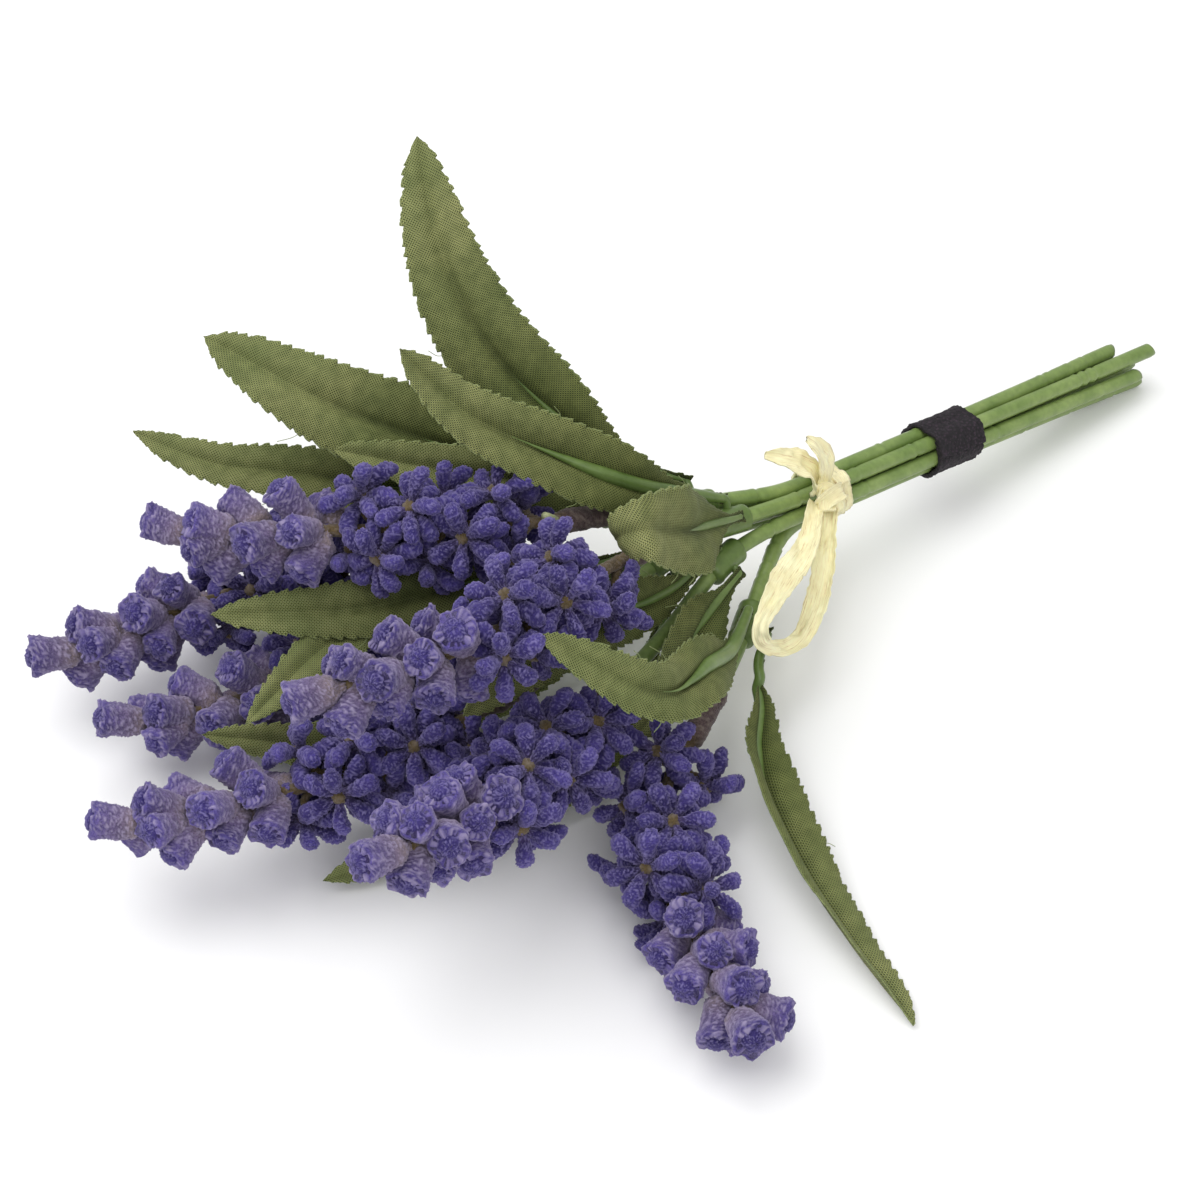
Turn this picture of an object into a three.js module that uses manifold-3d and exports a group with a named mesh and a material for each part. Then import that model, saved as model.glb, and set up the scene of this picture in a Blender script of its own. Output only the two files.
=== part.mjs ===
// A tied bunch of seven artificial lavender stalks, lying down. Millimetres, +Z up.
// The bundle of stems points along +X, the flower spikes fan out towards -X and -Y,
// and the lowest pieces rest on z = 0, below the middle of the whole bunch.
import * as THREE from 'three';
import { mergeVertices } from 'three/addons/utils/BufferGeometryUtils.js';
import Module from 'manifold-3d';

const wasm = await Module();
wasm.setup();

// --- Driving dimensions ---
const GAP = 0.3; // clearance between pieces that touch
const STEM_RADIUS = 1.5;
const ROUTED_RADIUS = 1.5; // the routes below were laid out for stems this thick
const STEM_SIDES = 8;
const STEM_STEPS = 14;
const BUNDLE_LENGTH = 93; // from the raffia tie to the longest cut end
const BUNDLE_DROP = 0.165; // how far the bundle falls for each millimetre towards the cut ends
const BUNDLE_SWING = 0.04; // and how far it turns towards +Y
const SPLAY = 0.3; // how much wider the bundle stands at its longest cut end
const TIE_CENTRE = new THREE.Vector3(40, -19, 21);
const REST_ROLL = 0.01; // the small turns that bring two spikes and a cut end down together
const REST_PITCH = 0.0055;

const BAND_WIDTH = 12.5; // hook-and-loop tape
const BAND_THICKNESS = 0.9;
const BAND_DISTANCE = 34; // from the tie to the middle of the band
const TIE_WIDTH = 6;
const TIE_THICKNESS = 1.1;
const RIBBON_THICKNESS = 0.5; // flat raffia in the loop and the loose ends

const SLEEVE_LENGTH = 15;
const SLEEVE_RADIUS = 2.2;
const RACHIS_RADIUS = 1;
const HUB_SLACK = 0.3; // room for the bend of the flower stalk
const HUB_WALL = 0.9; // the ring that joins the florets of one tier
const HUB_START = 0.8; // from the end of the sleeve to the first ring

const STARS_PER_TIER = [6, 6];
const STAR_PITCH = 3.1;
const STAR_STANDOFF = 6.2; // from the flower stalk to the middle of a star
const STAR_LEAN = 2.4; // how far a star sits ahead of its place on the stalk
const STAR_TILT = 0.7; // how much a star faces along the stalk, against outwards
const PEDICEL_RADIUS = 0.65;
const STAR_ARMS = 6;
const STAR_CORE = 1.3;
const BUD_REACH = 7.8; // from the middle of a star to the tip of a bud
const BUD_RADIUS = 1.6;
const BUD_WIDEST = 0.76; // the widest place, as a share of the reach
const BUD_SPREADS = [64, 52, 76, 40, 88, 28]; // degrees from the star's axis, best first

const BELLS = 11;
const BELL_START = 1.3; // from the last ring to the first bell
const BELL_PITCH = 2.75;
const BELL_LENGTH = 10.5; // with its short stalk
const BELL_NECK = 3.2; // from the flower stalk to where the cup begins
const BELL_NECK_RADIUS = 2.1;
const BELL_MOUTH_RADIUS = 3.4;
const BELL_RIM = 0.9;
const BELL_STEP = 0.5; // from the rim back to the edge of the hollow
const BELL_RECESS = 1.6;
const BELL_SIDES = 6;
const SPINE_GAP = 2; // how far ahead of the first bell the stalk is parted
const STALK_TIP = 0.5; // the flower stalk beyond its last bell
const BELL_LEAN = [62, 20]; // degrees from the stalk: first bell, last bell

const COLLAR_LENGTH = 9;
const COLLAR_WALL = 0.8;
const COLLAR_SLACK = 0.3; // room for the bend of the stem
const LEAF_THICKNESS = 0.9; // at the crease, with the moulded rib
const LEAF_LEVELS = 10;
const LEAF_STALK_WIDTH = 2.4;
const GOLDEN_ANGLE = 2.39996;

// --- Places along a flower spike, from the foot of its sleeve ---
const HUB_OVERHANG = (STAR_PITCH - GAP) / 2; // how far a ring runs past its outer stars
const FIRST_STAR = SLEEVE_LENGTH + HUB_START + HUB_OVERHANG;
const LAST_STAR = FIRST_STAR + STAR_PITCH * (STARS_PER_TIER[0] + STARS_PER_TIER[1] - 1);
const FIRST_BELL = LAST_STAR + HUB_OVERHANG + BELL_START;
const SPIKE_LENGTH = FIRST_BELL + BELL_PITCH * (BELLS - 1) + STALK_TIP;

// --- The seven stalks: place in the bundle, how much shorter than the longest, and route ---
// A slot is a turn around the bundle's axis in sixths of a circle; null is the middle one.
// Each route runs from just ahead of the tie to the end of the flower stalk.
const STALKS = [
  {
    slot: 1, short: 8, roll: 0.3,
    route: [[12, -15, 31], [-3, -15, 38], [-18, -14, 43], [-44, 0, 45], [-61, 12, 45], [-76, 24, 43]],
  },
  {
    slot: 0, short: 10, roll: 1.1,
    route: [[14, -10, 24], [-1, 0, 24], [-18, 12, 21], [-36, 23, 17], [-62, 32, 15], [-96, 36, 15]],
  },
  {
    slot: 2, short: 0, roll: 2.0,
    route: [[11, -22, 31], [-4, -27, 40], [-20, -31, 46], [-40, -35, 50], [-62, -37, 53], [-82, -35, 56]],
  },
  {
    slot: null, short: 3, roll: 0.7,
    route: [[12, -17, 25], [-12, -21, 24], [-33, -26, 22], [-56, -27, 21], [-80, -23, 20], [-112, -13, 20]],
  },
  {
    slot: 3, short: 5, roll: 1.6,
    route: [[13, -25, 25], [-8, -33, 24], [-30, -41, 24], [-50, -50, 28], [-66, -57, 35], [-90, -66, 48]],
  },
  {
    slot: 4, short: 2, roll: 2.6,
    route: [[19, -28, 18], [4, -39, 17], [-12, -49, 16], [-28, -58, 15], [-40, -73, 14], [-51, -109, 13]],
  },
  {
    slot: 5, short: 7, roll: 0.1,
    route: [[14, -13, 19], [-8, -8, 16], [-28, -2, 14], [-50, 3, 13], [-71, 7, 13], [-95, 14, 13]],
  },
];

// --- The leaves: which stalk and where its collar sits (from the tie, as the stalk runs), ---
// --- the rest of the route, the width, the way the upper face looks, and the fold (degrees) ---
const LEAVES = [
  {
    stalk: 0, at: 30, width: 18, face: [-0.4, -0.6, 0.6], fold: 12,
    route: [[-2, -6, 45], [-11, 5, 56], [-17, 15, 69], [-18, 26, 84], [-13, 39, 98]],
  },
  {
    stalk: 2, at: 26, width: 15, face: [-0.1, -0.8, 0.6], fold: 22,
    route: [[-4, -16, 46], [-16, -8, 54], [-29, 3, 64], [-36, 13, 76]],
  },
  {
    stalk: 1, at: 40, width: 19, face: [-0.3, -0.6, 0.8], fold: 10,
    route: [[-5, 0, 34], [-25, 20, 42], [-39, 32, 50], [-52, 57, 57]],
  },
  {
    stalk: 1, at: 40, width: 12, face: [-0.3, -0.5, 0.8], fold: 14,
    route: [[-8, 8, 28], [-18, 14, 29], [-32, 24, 31], [-46, 37, 33], [-58, 48, 34], [-67, 62, 37]],
  },
  {
    stalk: 2, at: 26, width: 17, face: [-0.35, -0.6, 0.7], fold: 10,
    route: [[3, -29, 41], [-4, -33, 47], [-11, -35, 53], [-17, -36, 57], [-20, -34, 56], [-19, -30, 51]],
  },
  {
    stalk: 0, at: 30, width: 12, face: [-0.3, -0.5, 0.8], fold: 16,
    route: [[-2, -7, 37], [-14, 0, 40], [-28, 12, 42], [-44, 26, 46]],
  },
  {
    stalk: 3, at: 38, width: 13, face: [-0.4, -0.5, 0.7], fold: 10,
    route: [[-10, -15, 28], [-30, -7, 30], [-55, 0, 31], [-80, 14, 33]],
  },
  {
    stalk: 3, at: 38, width: 12, face: [-0.3, -0.6, 0.7], fold: 12,
    route: [[-6, -27, 17], [-25, -36, 9], [-55, -38, 6], [-87, -31, 4]],
  },
  {
    stalk: 4, at: 30, width: 12, face: [-0.2, -0.8, 0.6], fold: 14,
    route: [[-4, -29, 29], [-22, -32, 34], [-40, -34, 36], [-58, -36, 34]],
  },
  {
    stalk: 4, at: 30, width: 12, face: [0.4, -0.6, 0.7], fold: 12,
    route: [[-2, -36, 25], [-11, -41, 24], [-20, -46, 22], [-29, -49, 20]],
  },
  {
    stalk: 5, at: 36, width: 12, face: [-0.2, -0.6, 0.8], fold: 12,
    route: [[-2, -44, 24], [-13, -51, 32], [-30, -58, 41], [-48, -46, 57]],
  },
  {
    stalk: 5, at: 36, width: 13, face: [0.5, 0.2, 0.8], fold: 38,
    route: [[5, -43, 17], [0, -51, 15], [-9, -62, 12], [-15, -79, 8], [-19, -100, 5], [-21, -121, 3]],
  },
  {
    stalk: 6, at: 30, width: 12, face: [-0.4, -0.4, 0.8], fold: 12,
    route: [[-8, -11, 21], [-34, -4, 25], [-60, 0, 27], [-86, -6, 24]],
  },
  {
    stalk: 6, at: 30, width: 12, face: [-0.3, -0.5, 0.8], fold: 12,
    route: [[-12, -14, 10], [-36, -12, 7], [-62, -10, 7], [-92, 0, 20]],
  },
];

// --- Materials: colour, roughness ---
const FINISHES = {
  stem: [0x6b9246, 0.5],
  sleeve: [0x6a5a5c, 0.95],
  bud: [0x4c479c, 0.95],
  bell: [0x7a72a6, 0.95],
  leaf: [0x5f7338, 0.85],
  collar: [0x56802f, 0.45],
  band: [0x32262f, 0.95],
  raffia: [0xefe9b6, 0.7],
};

const bunch = new THREE.Group();

function addPiece(name, geometry, finish) {
  const [color, roughness] = FINISHES[finish];
  const mesh = new THREE.Mesh(geometry, new THREE.MeshStandardMaterial({ color, roughness, metalness: 0 }));
  mesh.name = name;
  bunch.add(mesh);
}

// --- Solids ---
function signedVolume(points, index) {
  let volume = 0;
  for (let i = 0; i < index.length; i += 3) {
    const [a, b, c] = [points[index[i]], points[index[i + 1]], points[index[i + 2]]];
    volume += a.dot(new THREE.Vector3().crossVectors(b, c)) / 6;
  }
  return volume;
}

function closedGeometry(points, index) {
  const outward = signedVolume(points, index) > 0 ? index : [...index].reverse();
  const geometry = new THREE.BufferGeometry().setFromPoints(points);
  geometry.setIndex(outward);
  geometry.computeVertexNormals();
  return geometry;
}

// Skins a row of rings; a ring of one point closes the form, and a wider end ring is capped.
function skin(rings) {
  const starts = [];
  let total = 0;
  for (const ring of rings) {
    starts.push(total);
    total += ring.length;
  }
  const index = [];
  for (let r = 0; r < rings.length - 1; r += 1) {
    const sides = Math.max(rings[r].length, rings[r + 1].length);
    for (let k = 0; k < sides; k += 1) {
      const next = (k + 1) % sides;
      const [here, there] = [rings[r].length, rings[r + 1].length];
      const [a, b] = [starts[r] + (k % here), starts[r] + (next % here)];
      const [c, d] = [starts[r + 1] + (k % there), starts[r + 1] + (next % there)];
      if (a !== b) index.push(a, b, d);
      if (c !== d) index.push(a, d, c);
    }
  }
  for (let k = 1; k < rings[0].length - 1; k += 1) index.push(0, k + 1, k);
  const last = starts.at(-1);
  for (let k = 1; k < rings.at(-1).length - 1; k += 1) index.push(last, last + k, last + k + 1);
  return closedGeometry(rings.flat(), index);
}

function solidOf(geometry) {
  const bare = geometry.clone();
  bare.deleteAttribute('normal');
  if (bare.attributes.uv) bare.deleteAttribute('uv');
  const merged = mergeVertices(bare, 1e-5);
  return new wasm.Manifold(new wasm.Mesh({
    numProp: 3,
    vertProperties: new Float32Array(merged.attributes.position.array),
    triVerts: new Uint32Array(merged.index.array),
  }));
}

function geometryOf(solid) {
  const mesh = solid.getMesh();
  const geometry = new THREE.BufferGeometry();
  geometry.setAttribute('position', new THREE.BufferAttribute(mesh.vertProperties, 3));
  geometry.setIndex(new THREE.BufferAttribute(mesh.triVerts, 1));
  geometry.computeVertexNormals();
  return geometry;
}

function join(geometries) {
  return geometryOf(geometries.map(solidOf).reduce((whole, solid) => whole.add(solid)));
}

// --- Curves ---
const vector = ([x, y, z]) => new THREE.Vector3(x, y, z);

function portion(curve, from, to, pieces = 12) {
  const length = curve.getLength();
  const points = [];
  for (let i = 0; i <= pieces; i += 1) {
    points.push(curve.getPointAt(Math.min(1, (from + ((to - from) * i) / pieces) / length)));
  }
  return new THREE.CatmullRomCurve3(points);
}

function polygon(radius, sides) {
  const points = [];
  for (let k = 0; k < sides; k += 1) {
    const angle = (k * 2 * Math.PI) / sides;
    points.push(new THREE.Vector2(radius * Math.cos(angle), radius * Math.sin(angle)));
  }
  return points;
}

function tubeAlong(path, radius, sides, steps, bore = 0) {
  const section = new THREE.Shape(polygon(radius, sides));
  if (bore > 0) section.holes.push(new THREE.Path(polygon(bore, sides)));
  return new THREE.ExtrudeGeometry(section, { steps, bevelEnabled: false, extrudePath: path });
}

// Two directions square to the given one, turned about it by an angle.
function sideways(direction, turn = 0) {
  const helper = Math.abs(direction.z) < 0.9 ? new THREE.Vector3(0, 0, 1) : new THREE.Vector3(1, 0, 0);
  const across = new THREE.Vector3().crossVectors(direction, helper).normalize();
  across.applyAxisAngle(direction, turn);
  return [across, new THREE.Vector3().crossVectors(direction, across)];
}

function ringAt(centre, direction, radius, sides, turn = 0) {
  const [across, up] = sideways(direction, turn);
  const place = (p) => centre.clone().addScaledVector(across, p.x).addScaledVector(up, p.y);
  return polygon(radius, sides).map(place);
}

// --- Room: what already stands in a place, so that florets lean away from it ---
const taken = [];

function occupy(a, b, radius, owner) {
  taken.push({ a, b, radius, owner });
}

const closestA = new THREE.Vector3();
const closestB = new THREE.Vector3();

function segmentDistance(p1, q1, p2, q2) {
  const d1 = new THREE.Vector3().subVectors(q1, p1);
  const d2 = new THREE.Vector3().subVectors(q2, p2);
  const r = new THREE.Vector3().subVectors(p1, p2);
  const [a, e, f] = [d1.lengthSq() + 1e-9, d2.lengthSq() + 1e-9, d2.dot(r)];
  const [b, c] = [d1.dot(d2), d1.dot(r)];
  const denominator = a * e - b * b;
  let s = denominator > 1e-9 ? THREE.MathUtils.clamp((b * f - c * e) / denominator, 0, 1) : 0;
  const t = THREE.MathUtils.clamp((b * s + f) / e, 0, 1);
  s = THREE.MathUtils.clamp((b * t - c) / a, 0, 1);
  closestA.copy(p1).addScaledVector(d1, s);
  closestB.copy(p2).addScaledVector(d2, t);
  return closestA.distanceTo(closestB);
}

function isFree(a, b, radius, ...own) {
  return taken.every((other) => own.includes(other.owner)
    || segmentDistance(a, b, other.a, other.b) > radius + other.radius + GAP);
}

// --- Stalks ---
const bundleAxis = new THREE.Vector3(1, BUNDLE_SWING, -BUNDLE_DROP).normalize();
const SLOT_RADIUS = 2 * STEM_RADIUS + GAP;
const HUB_BORE = RACHIS_RADIUS + GAP + HUB_SLACK;
const COLLAR_BORE = STEM_RADIUS + GAP + COLLAR_SLACK;

function slotOffset(slot) {
  if (slot === null) return new THREE.Vector3();
  const angle = (slot * Math.PI) / 3;
  const up = new THREE.Vector3().crossVectors(bundleAxis, new THREE.Vector3(0, 1, 0));
  const level = new THREE.Vector3(0, SLOT_RADIUS * Math.cos(angle), 0);
  return level.addScaledVector(up, SLOT_RADIUS * Math.sin(angle));
}

function bundlePoint(distance, slot) {
  const beyond = Math.max(0, distance - BAND_DISTANCE - BAND_WIDTH) / (BUNDLE_LENGTH - BAND_DISTANCE);
  const offset = slotOffset(slot).multiplyScalar(1 + SPLAY * beyond);
  return TIE_CENTRE.clone().addScaledVector(bundleAxis, distance).add(offset);
}

function stalkCurve({ slot, short, route }) {
  const straight = [BUNDLE_LENGTH - short, 55, BAND_DISTANCE, 18, 0, -8].map((d) => bundlePoint(d, slot));
  const room = slotOffset(slot).setLength(2 * (STEM_RADIUS - ROUTED_RADIUS));
  const outward = route.map((point) => vector(point).add(room));
  return new THREE.CatmullRomCurve3([...straight, ...outward], false, 'centripetal');
}

const stalks = STALKS.map((stalk, i) => {
  const curve = stalkCurve(stalk);
  curve.arcLengthDivisions = 400;
  const length = curve.getLength();
  const foot = length - SPIKE_LENGTH;
  return { ...stalk, name: i + 1, curve, length, foot, tie: BUNDLE_LENGTH - stalk.short };
});

const placeOn = (stalk, distance) => stalk.curve.getPointAt(Math.min(1, distance / stalk.length));
const headingOn = (stalk, distance) => stalk.curve.getTangentAt(Math.min(1, distance / stalk.length));

function addStem(stalk) {
  const path = portion(stalk.curve, 0, stalk.foot - GAP, 24);
  addPiece(`stem_${stalk.name}`, tubeAlong(path, STEM_RADIUS, STEM_SIDES, STEM_STEPS), 'stem');
  for (let s = stalk.tie; s < stalk.foot; s += 6) {
    occupy(placeOn(stalk, s), placeOn(stalk, Math.min(s + 6, stalk.foot)), STEM_RADIUS, stalk.name);
  }
}

function addSpine(stalk) {
  const marks = [[0, 0.8], [2, 1], [SLEEVE_LENGTH - 3, 0.9], [SLEEVE_LENGTH, 0.5]];
  const rings = marks.map(([s, share]) => [stalk.foot + s, SLEEVE_RADIUS * share]);
  const end = FIRST_BELL - SPINE_GAP;
  for (let s = SLEEVE_LENGTH + 5; s < end - 3; s += 7) rings.push([stalk.foot + s, RACHIS_RADIUS]);
  rings.push([stalk.foot + end, RACHIS_RADIUS]);
  const geometry = skin(rings.map(([s, r]) => ringAt(placeOn(stalk, s), headingOn(stalk, s), r, 6)));
  addPiece(`spike_${stalk.name}_spine`, geometry, 'sleeve');
  for (let s = 0; s < SPIKE_LENGTH; s += 6) {
    const radius = s < SLEEVE_LENGTH ? SLEEVE_RADIUS : HUB_BORE + HUB_WALL;
    occupy(placeOn(stalk, stalk.foot + s), placeOn(stalk, stalk.foot + s + 6), radius, stalk.name);
  }
}

// --- Stars of buds ---
// Six bud arms around a small core; three of its lower corners run down into the pedicel.
function starGeometry(centre, axis, across, up, arms, foot) {
  const around = (turn, radius, height) => centre.clone().addScaledVector(axis, height)
    .addScaledVector(across, radius * Math.cos(turn)).addScaledVector(up, radius * Math.sin(turn));
  const step = (2 * Math.PI) / STAR_ARMS;
  const points = [around(0, 0, STAR_CORE)];
  for (let k = 0; k < STAR_ARMS; k += 1) {
    points.push(around((k - 0.5) * step, STAR_CORE * 1.15, 0.35 * STAR_CORE));
  }
  const lowerStart = points.length;
  for (let j = 0; j < STAR_ARMS / 2; j += 1) {
    points.push(around((2 * j + 0.5) * step, PEDICEL_RADIUS, -STAR_CORE * 0.8));
  }
  const footStart = points.length;
  for (let j = 0; j < STAR_ARMS / 2; j += 1) {
    points.push(points[lowerStart + j].clone().sub(centre).projectOnPlane(axis).add(foot));
  }
  const index = [];
  const pairs = STAR_ARMS / 2;
  arms.forEach((arm, k) => {
    const [right, left] = [1 + k, 1 + ((k + 1) % STAR_ARMS)];
    const lower = lowerStart + Math.floor(k / 2);
    const root = [right, 0, left, lower];
    if (k % 2 === 1) index.push(left, lower, lowerStart + ((Math.floor(k / 2) + 1) % pairs));
    if (!arm) {
      index.push(right, left, 0, left, right, lower);
      return;
    }
    const start = points.length;
    const middle = centre.clone().lerp(arm.tip, BUD_WIDEST);
    const lift = new THREE.Vector3().crossVectors(arm.direction, arm.side);
    points.push(middle.clone().addScaledVector(arm.side, -BUD_RADIUS));
    points.push(middle.clone().addScaledVector(lift, BUD_RADIUS));
    points.push(middle.clone().addScaledVector(arm.side, BUD_RADIUS));
    points.push(middle.clone().addScaledVector(lift, -BUD_RADIUS));
    points.push(arm.tip);
    for (let q = 0; q < 4; q += 1) {
      const next = (q + 1) % 4;
      index.push(root[q], start + q, start + next, root[q], start + next, root[next]);
      index.push(start + q, start + 4, start + next);
    }
  });
  for (let j = 0; j < pairs; j += 1) {
    const next = (j + 1) % pairs;
    index.push(lowerStart + j, footStart + next, lowerStart + next);
    index.push(lowerStart + j, footStart + j, footStart + next);
  }
  index.push(footStart, footStart + 2, footStart + 1);
  return closedGeometry(points, index);
}

// Picks the first spread that leaves a bud room; a bud with no room at all is left out.
function budArm(centre, axis, out, owner, star) {
  for (const spread of BUD_SPREADS) {
    const angle = THREE.MathUtils.degToRad(spread);
    const direction = axis.clone().multiplyScalar(Math.cos(angle)).addScaledVector(out, Math.sin(angle));
    const tip = centre.clone().addScaledVector(direction, BUD_REACH);
    const from = centre.clone().lerp(tip, 0.4);
    const to = centre.clone().lerp(tip, 0.88);
    if (isFree(from, to, BUD_RADIUS * 0.9, star)) {
      const side = new THREE.Vector3().crossVectors(axis, out);
      return { tip, direction, side, from, to };
    }
  }
  return null;
}

function starOn(stalk, number) {
  const s = stalk.foot + FIRST_STAR + STAR_PITCH * number;
  const heading = headingOn(stalk, s);
  const [radial] = sideways(heading, stalk.roll + number * GOLDEN_ANGLE);
  const root = placeOn(stalk, s);
  const centre = root.clone().addScaledVector(radial, STAR_STANDOFF).addScaledVector(heading, STAR_LEAN);
  if (!isFree(centre, centre, STAR_CORE * 1.2)) return null;
  const axis = radial.clone().addScaledVector(heading, STAR_TILT).normalize();
  const [across, up] = sideways(axis, number);
  const star = `${stalk.name}.${number}`;
  const arms = [];
  for (let k = 0; k < STAR_ARMS; k += 1) {
    const turn = (k * 2 * Math.PI) / STAR_ARMS;
    const out = across.clone().multiplyScalar(Math.cos(turn)).addScaledVector(up, Math.sin(turn));
    arms.push(budArm(centre, axis, out, stalk.name, star));
  }
  if (arms.filter(Boolean).length < 2) return null;
  const foot = root.clone().addScaledVector(radial, HUB_BORE + HUB_WALL * 0.35);
  for (const arm of arms.filter(Boolean)) occupy(arm.from, arm.to, BUD_RADIUS * 0.9, star);
  occupy(foot, centre, PEDICEL_RADIUS, star);
  occupy(centre, centre, STAR_CORE * 1.2, star);
  return starGeometry(centre, axis, across, up, arms, foot);
}

function addBudTier(stalk, tier, first, count) {
  const from = stalk.foot + FIRST_STAR + STAR_PITCH * first - HUB_OVERHANG;
  const to = from + STAR_PITCH * (count - 1) + 2 * HUB_OVERHANG;
  const ring = tubeAlong(portion(stalk.curve, from, to), HUB_BORE + HUB_WALL, 6, 2, HUB_BORE);
  const pieces = [ring];
  for (let n = first; n < first + count; n += 1) {
    const star = starOn(stalk, n);
    if (star) pieces.push(star);
  }
  addPiece(`spike_${stalk.name}_${tier}_buds`, join(pieces), 'bud');
}

// --- Bell florets ---
function bellRings(root, direction) {
  const along = (distance) => root.clone().addScaledVector(direction, distance);
  const ring = (distance, radius) => ringAt(along(distance), direction, radius, BELL_SIDES);
  const inner = BELL_MOUTH_RADIUS - BELL_RIM;
  return [
    [root],
    ring(BELL_NECK, BELL_NECK_RADIUS),
    ring(BELL_LENGTH, BELL_MOUTH_RADIUS),
    ring(BELL_LENGTH - BELL_STEP, inner),
    [along(BELL_LENGTH - BELL_RECESS)],
  ];
}

function bellOn(stalk, number) {
  const s = stalk.foot + FIRST_BELL + BELL_PITCH * number;
  const heading = headingOn(stalk, s);
  const root = placeOn(stalk, s);
  const share = number / (BELLS - 1);
  const best = THREE.MathUtils.lerp(BELL_LEAN[0], BELL_LEAN[1], share);
  const bell = `${stalk.name}.bell.${number}`;
  for (const turn of [0, 0.25, -0.25, 0.5, -0.5]) {
    const [radial] = sideways(heading, stalk.roll + number * GOLDEN_ANGLE + turn);
    for (const change of [0, -12, 12, -24, 24]) {
      const angle = THREE.MathUtils.degToRad(best + change);
      const direction = heading.clone().multiplyScalar(Math.cos(angle));
      direction.addScaledVector(radial, Math.sin(angle));
      const from = root.clone().addScaledVector(direction, BELL_LENGTH * 0.55);
      const to = root.clone().addScaledVector(direction, BELL_LENGTH - BELL_MOUTH_RADIUS * 0.4);
      if (isFree(from, to, BELL_MOUTH_RADIUS * 0.95, bell, stalk.name)) {
        occupy(from, to, BELL_MOUTH_RADIUS * 0.95, bell);
        return skin(bellRings(root, direction));
      }
    }
  }
  return null;
}

function addBells(stalk) {
  const from = stalk.foot + FIRST_BELL - SPINE_GAP + GAP;
  const core = tubeAlong(portion(stalk.curve, from, stalk.length), RACHIS_RADIUS, 6, 3);
  const pieces = [core];
  for (let n = 0; n < BELLS; n += 1) {
    const bell = bellOn(stalk, n);
    if (bell) pieces.push(bell);
  }
  addPiece(`spike_${stalk.name}_bells`, join(pieces), 'bell');
}

// --- Leaves ---
function addCollar(stalk, distance) {
  const from = distance - COLLAR_LENGTH / 2;
  const path = portion(stalk.curve, from, from + COLLAR_LENGTH);
  const sleeve = tubeAlong(path, COLLAR_BORE + COLLAR_WALL, STEM_SIDES, 2, COLLAR_BORE);
  addPiece(`leaf_collar_${stalk.name}`, sleeve, 'collar');
}

// The blade widens quickly from its narrow stalk and runs out in a point.
function bladeWidth(share, width) {
  const belly = Math.sin(Math.PI * share ** 0.9) ** 0.55;
  const blade = width * belly * THREE.MathUtils.smoothstep(share, 0.02, 0.4);
  return Math.max(LEAF_STALK_WIDTH * (1 - share), blade);
}

function leafCurve({ stalk, at, route }) {
  const owner = stalks[stalk];
  const collar = placeOn(owner, owner.tie + at);
  const towards = vector(route[0]).sub(collar);
  const heading = headingOn(owner, owner.tie + at);
  const outward = towards.clone().addScaledVector(heading, -towards.dot(heading)).normalize();
  const standoff = COLLAR_BORE + COLLAR_WALL + GAP + LEAF_STALK_WIDTH / 2;
  const start = collar.clone().addScaledVector(outward, standoff);
  return new THREE.CatmullRomCurve3([start, ...route.map(vector)], false, 'centripetal');
}

function leafLevels(leaf, curve, levels) {
  const faceHint = vector(leaf.face).normalize();
  const rings = [];
  for (let i = 0; i < levels; i += 1) {
    const share = i / levels;
    const centre = curve.getPointAt(share);
    const heading = curve.getTangentAt(share);
    const across = new THREE.Vector3().crossVectors(heading, faceHint).normalize();
    const face = new THREE.Vector3().crossVectors(across, heading);
    const half = bladeWidth(share, leaf.width) / 2;
    const fold = THREE.MathUtils.degToRad(leaf.fold);
    const edge = (sign) => centre.clone().addScaledVector(across, sign * half * Math.cos(fold))
      .addScaledVector(face, half * Math.sin(fold));
    const crease = (sign) => centre.clone().addScaledVector(face, (sign * LEAF_THICKNESS) / 2);
    rings.push([edge(-1), crease(1), edge(1), crease(-1)]);
  }
  return [...rings, [curve.getPointAt(1)]];
}

function addLeaf(leaf, number) {
  const curve = leafCurve(leaf);
  addPiece(`leaf_${number}`, skin(leafLevels(leaf, curve, LEAF_LEVELS)), 'leaf');
  for (const [left, upper, right] of leafLevels(leaf, curve, 28).slice(2, 28)) {
    for (const edge of [left, right]) {
      occupy(upper, upper.clone().lerp(edge, 0.9), 0.9, `leaf${number}`);
    }
  }
}

// --- Band and tie ---
function addBand() {
  const bore = SLOT_RADIUS + STEM_RADIUS + GAP;
  const half = bundleAxis.clone().multiplyScalar(BAND_WIDTH / 2);
  const centre = bundlePoint(BAND_DISTANCE, null);
  const path = new THREE.LineCurve3(centre.clone().sub(half), centre.clone().add(half));
  addPiece('hook_and_loop_band', tubeAlong(path, bore + BAND_THICKNESS, 12, 1, bore), 'band');
}

// Flat raffia: a ribbon that runs through the given points, with its own width at each.
function ribbon(points, widths, faceHint) {
  const curve = new THREE.CatmullRomCurve3(points.map(vector), false, 'centripetal');
  const steps = points.length * 2;
  const rings = [];
  for (let i = 0; i <= steps; i += 1) {
    const share = i / steps;
    const heading = curve.getTangentAt(share);
    const across = new THREE.Vector3().crossVectors(heading, vector(faceHint)).normalize();
    const face = new THREE.Vector3().crossVectors(across, heading);
    const place = share * (widths.length - 1);
    const low = Math.min(Math.floor(place), widths.length - 2);
    const half = THREE.MathUtils.lerp(widths[low], widths[low + 1], place - low) / 2;
    const corner = (x, y) => curve.getPointAt(share).addScaledVector(across, x * half)
      .addScaledVector(face, (y * RIBBON_THICKNESS) / 2);
    rings.push([corner(-1, -1), corner(1, -1), corner(1, 1), corner(-1, 1)]);
  }
  return skin(rings);
}

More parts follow.
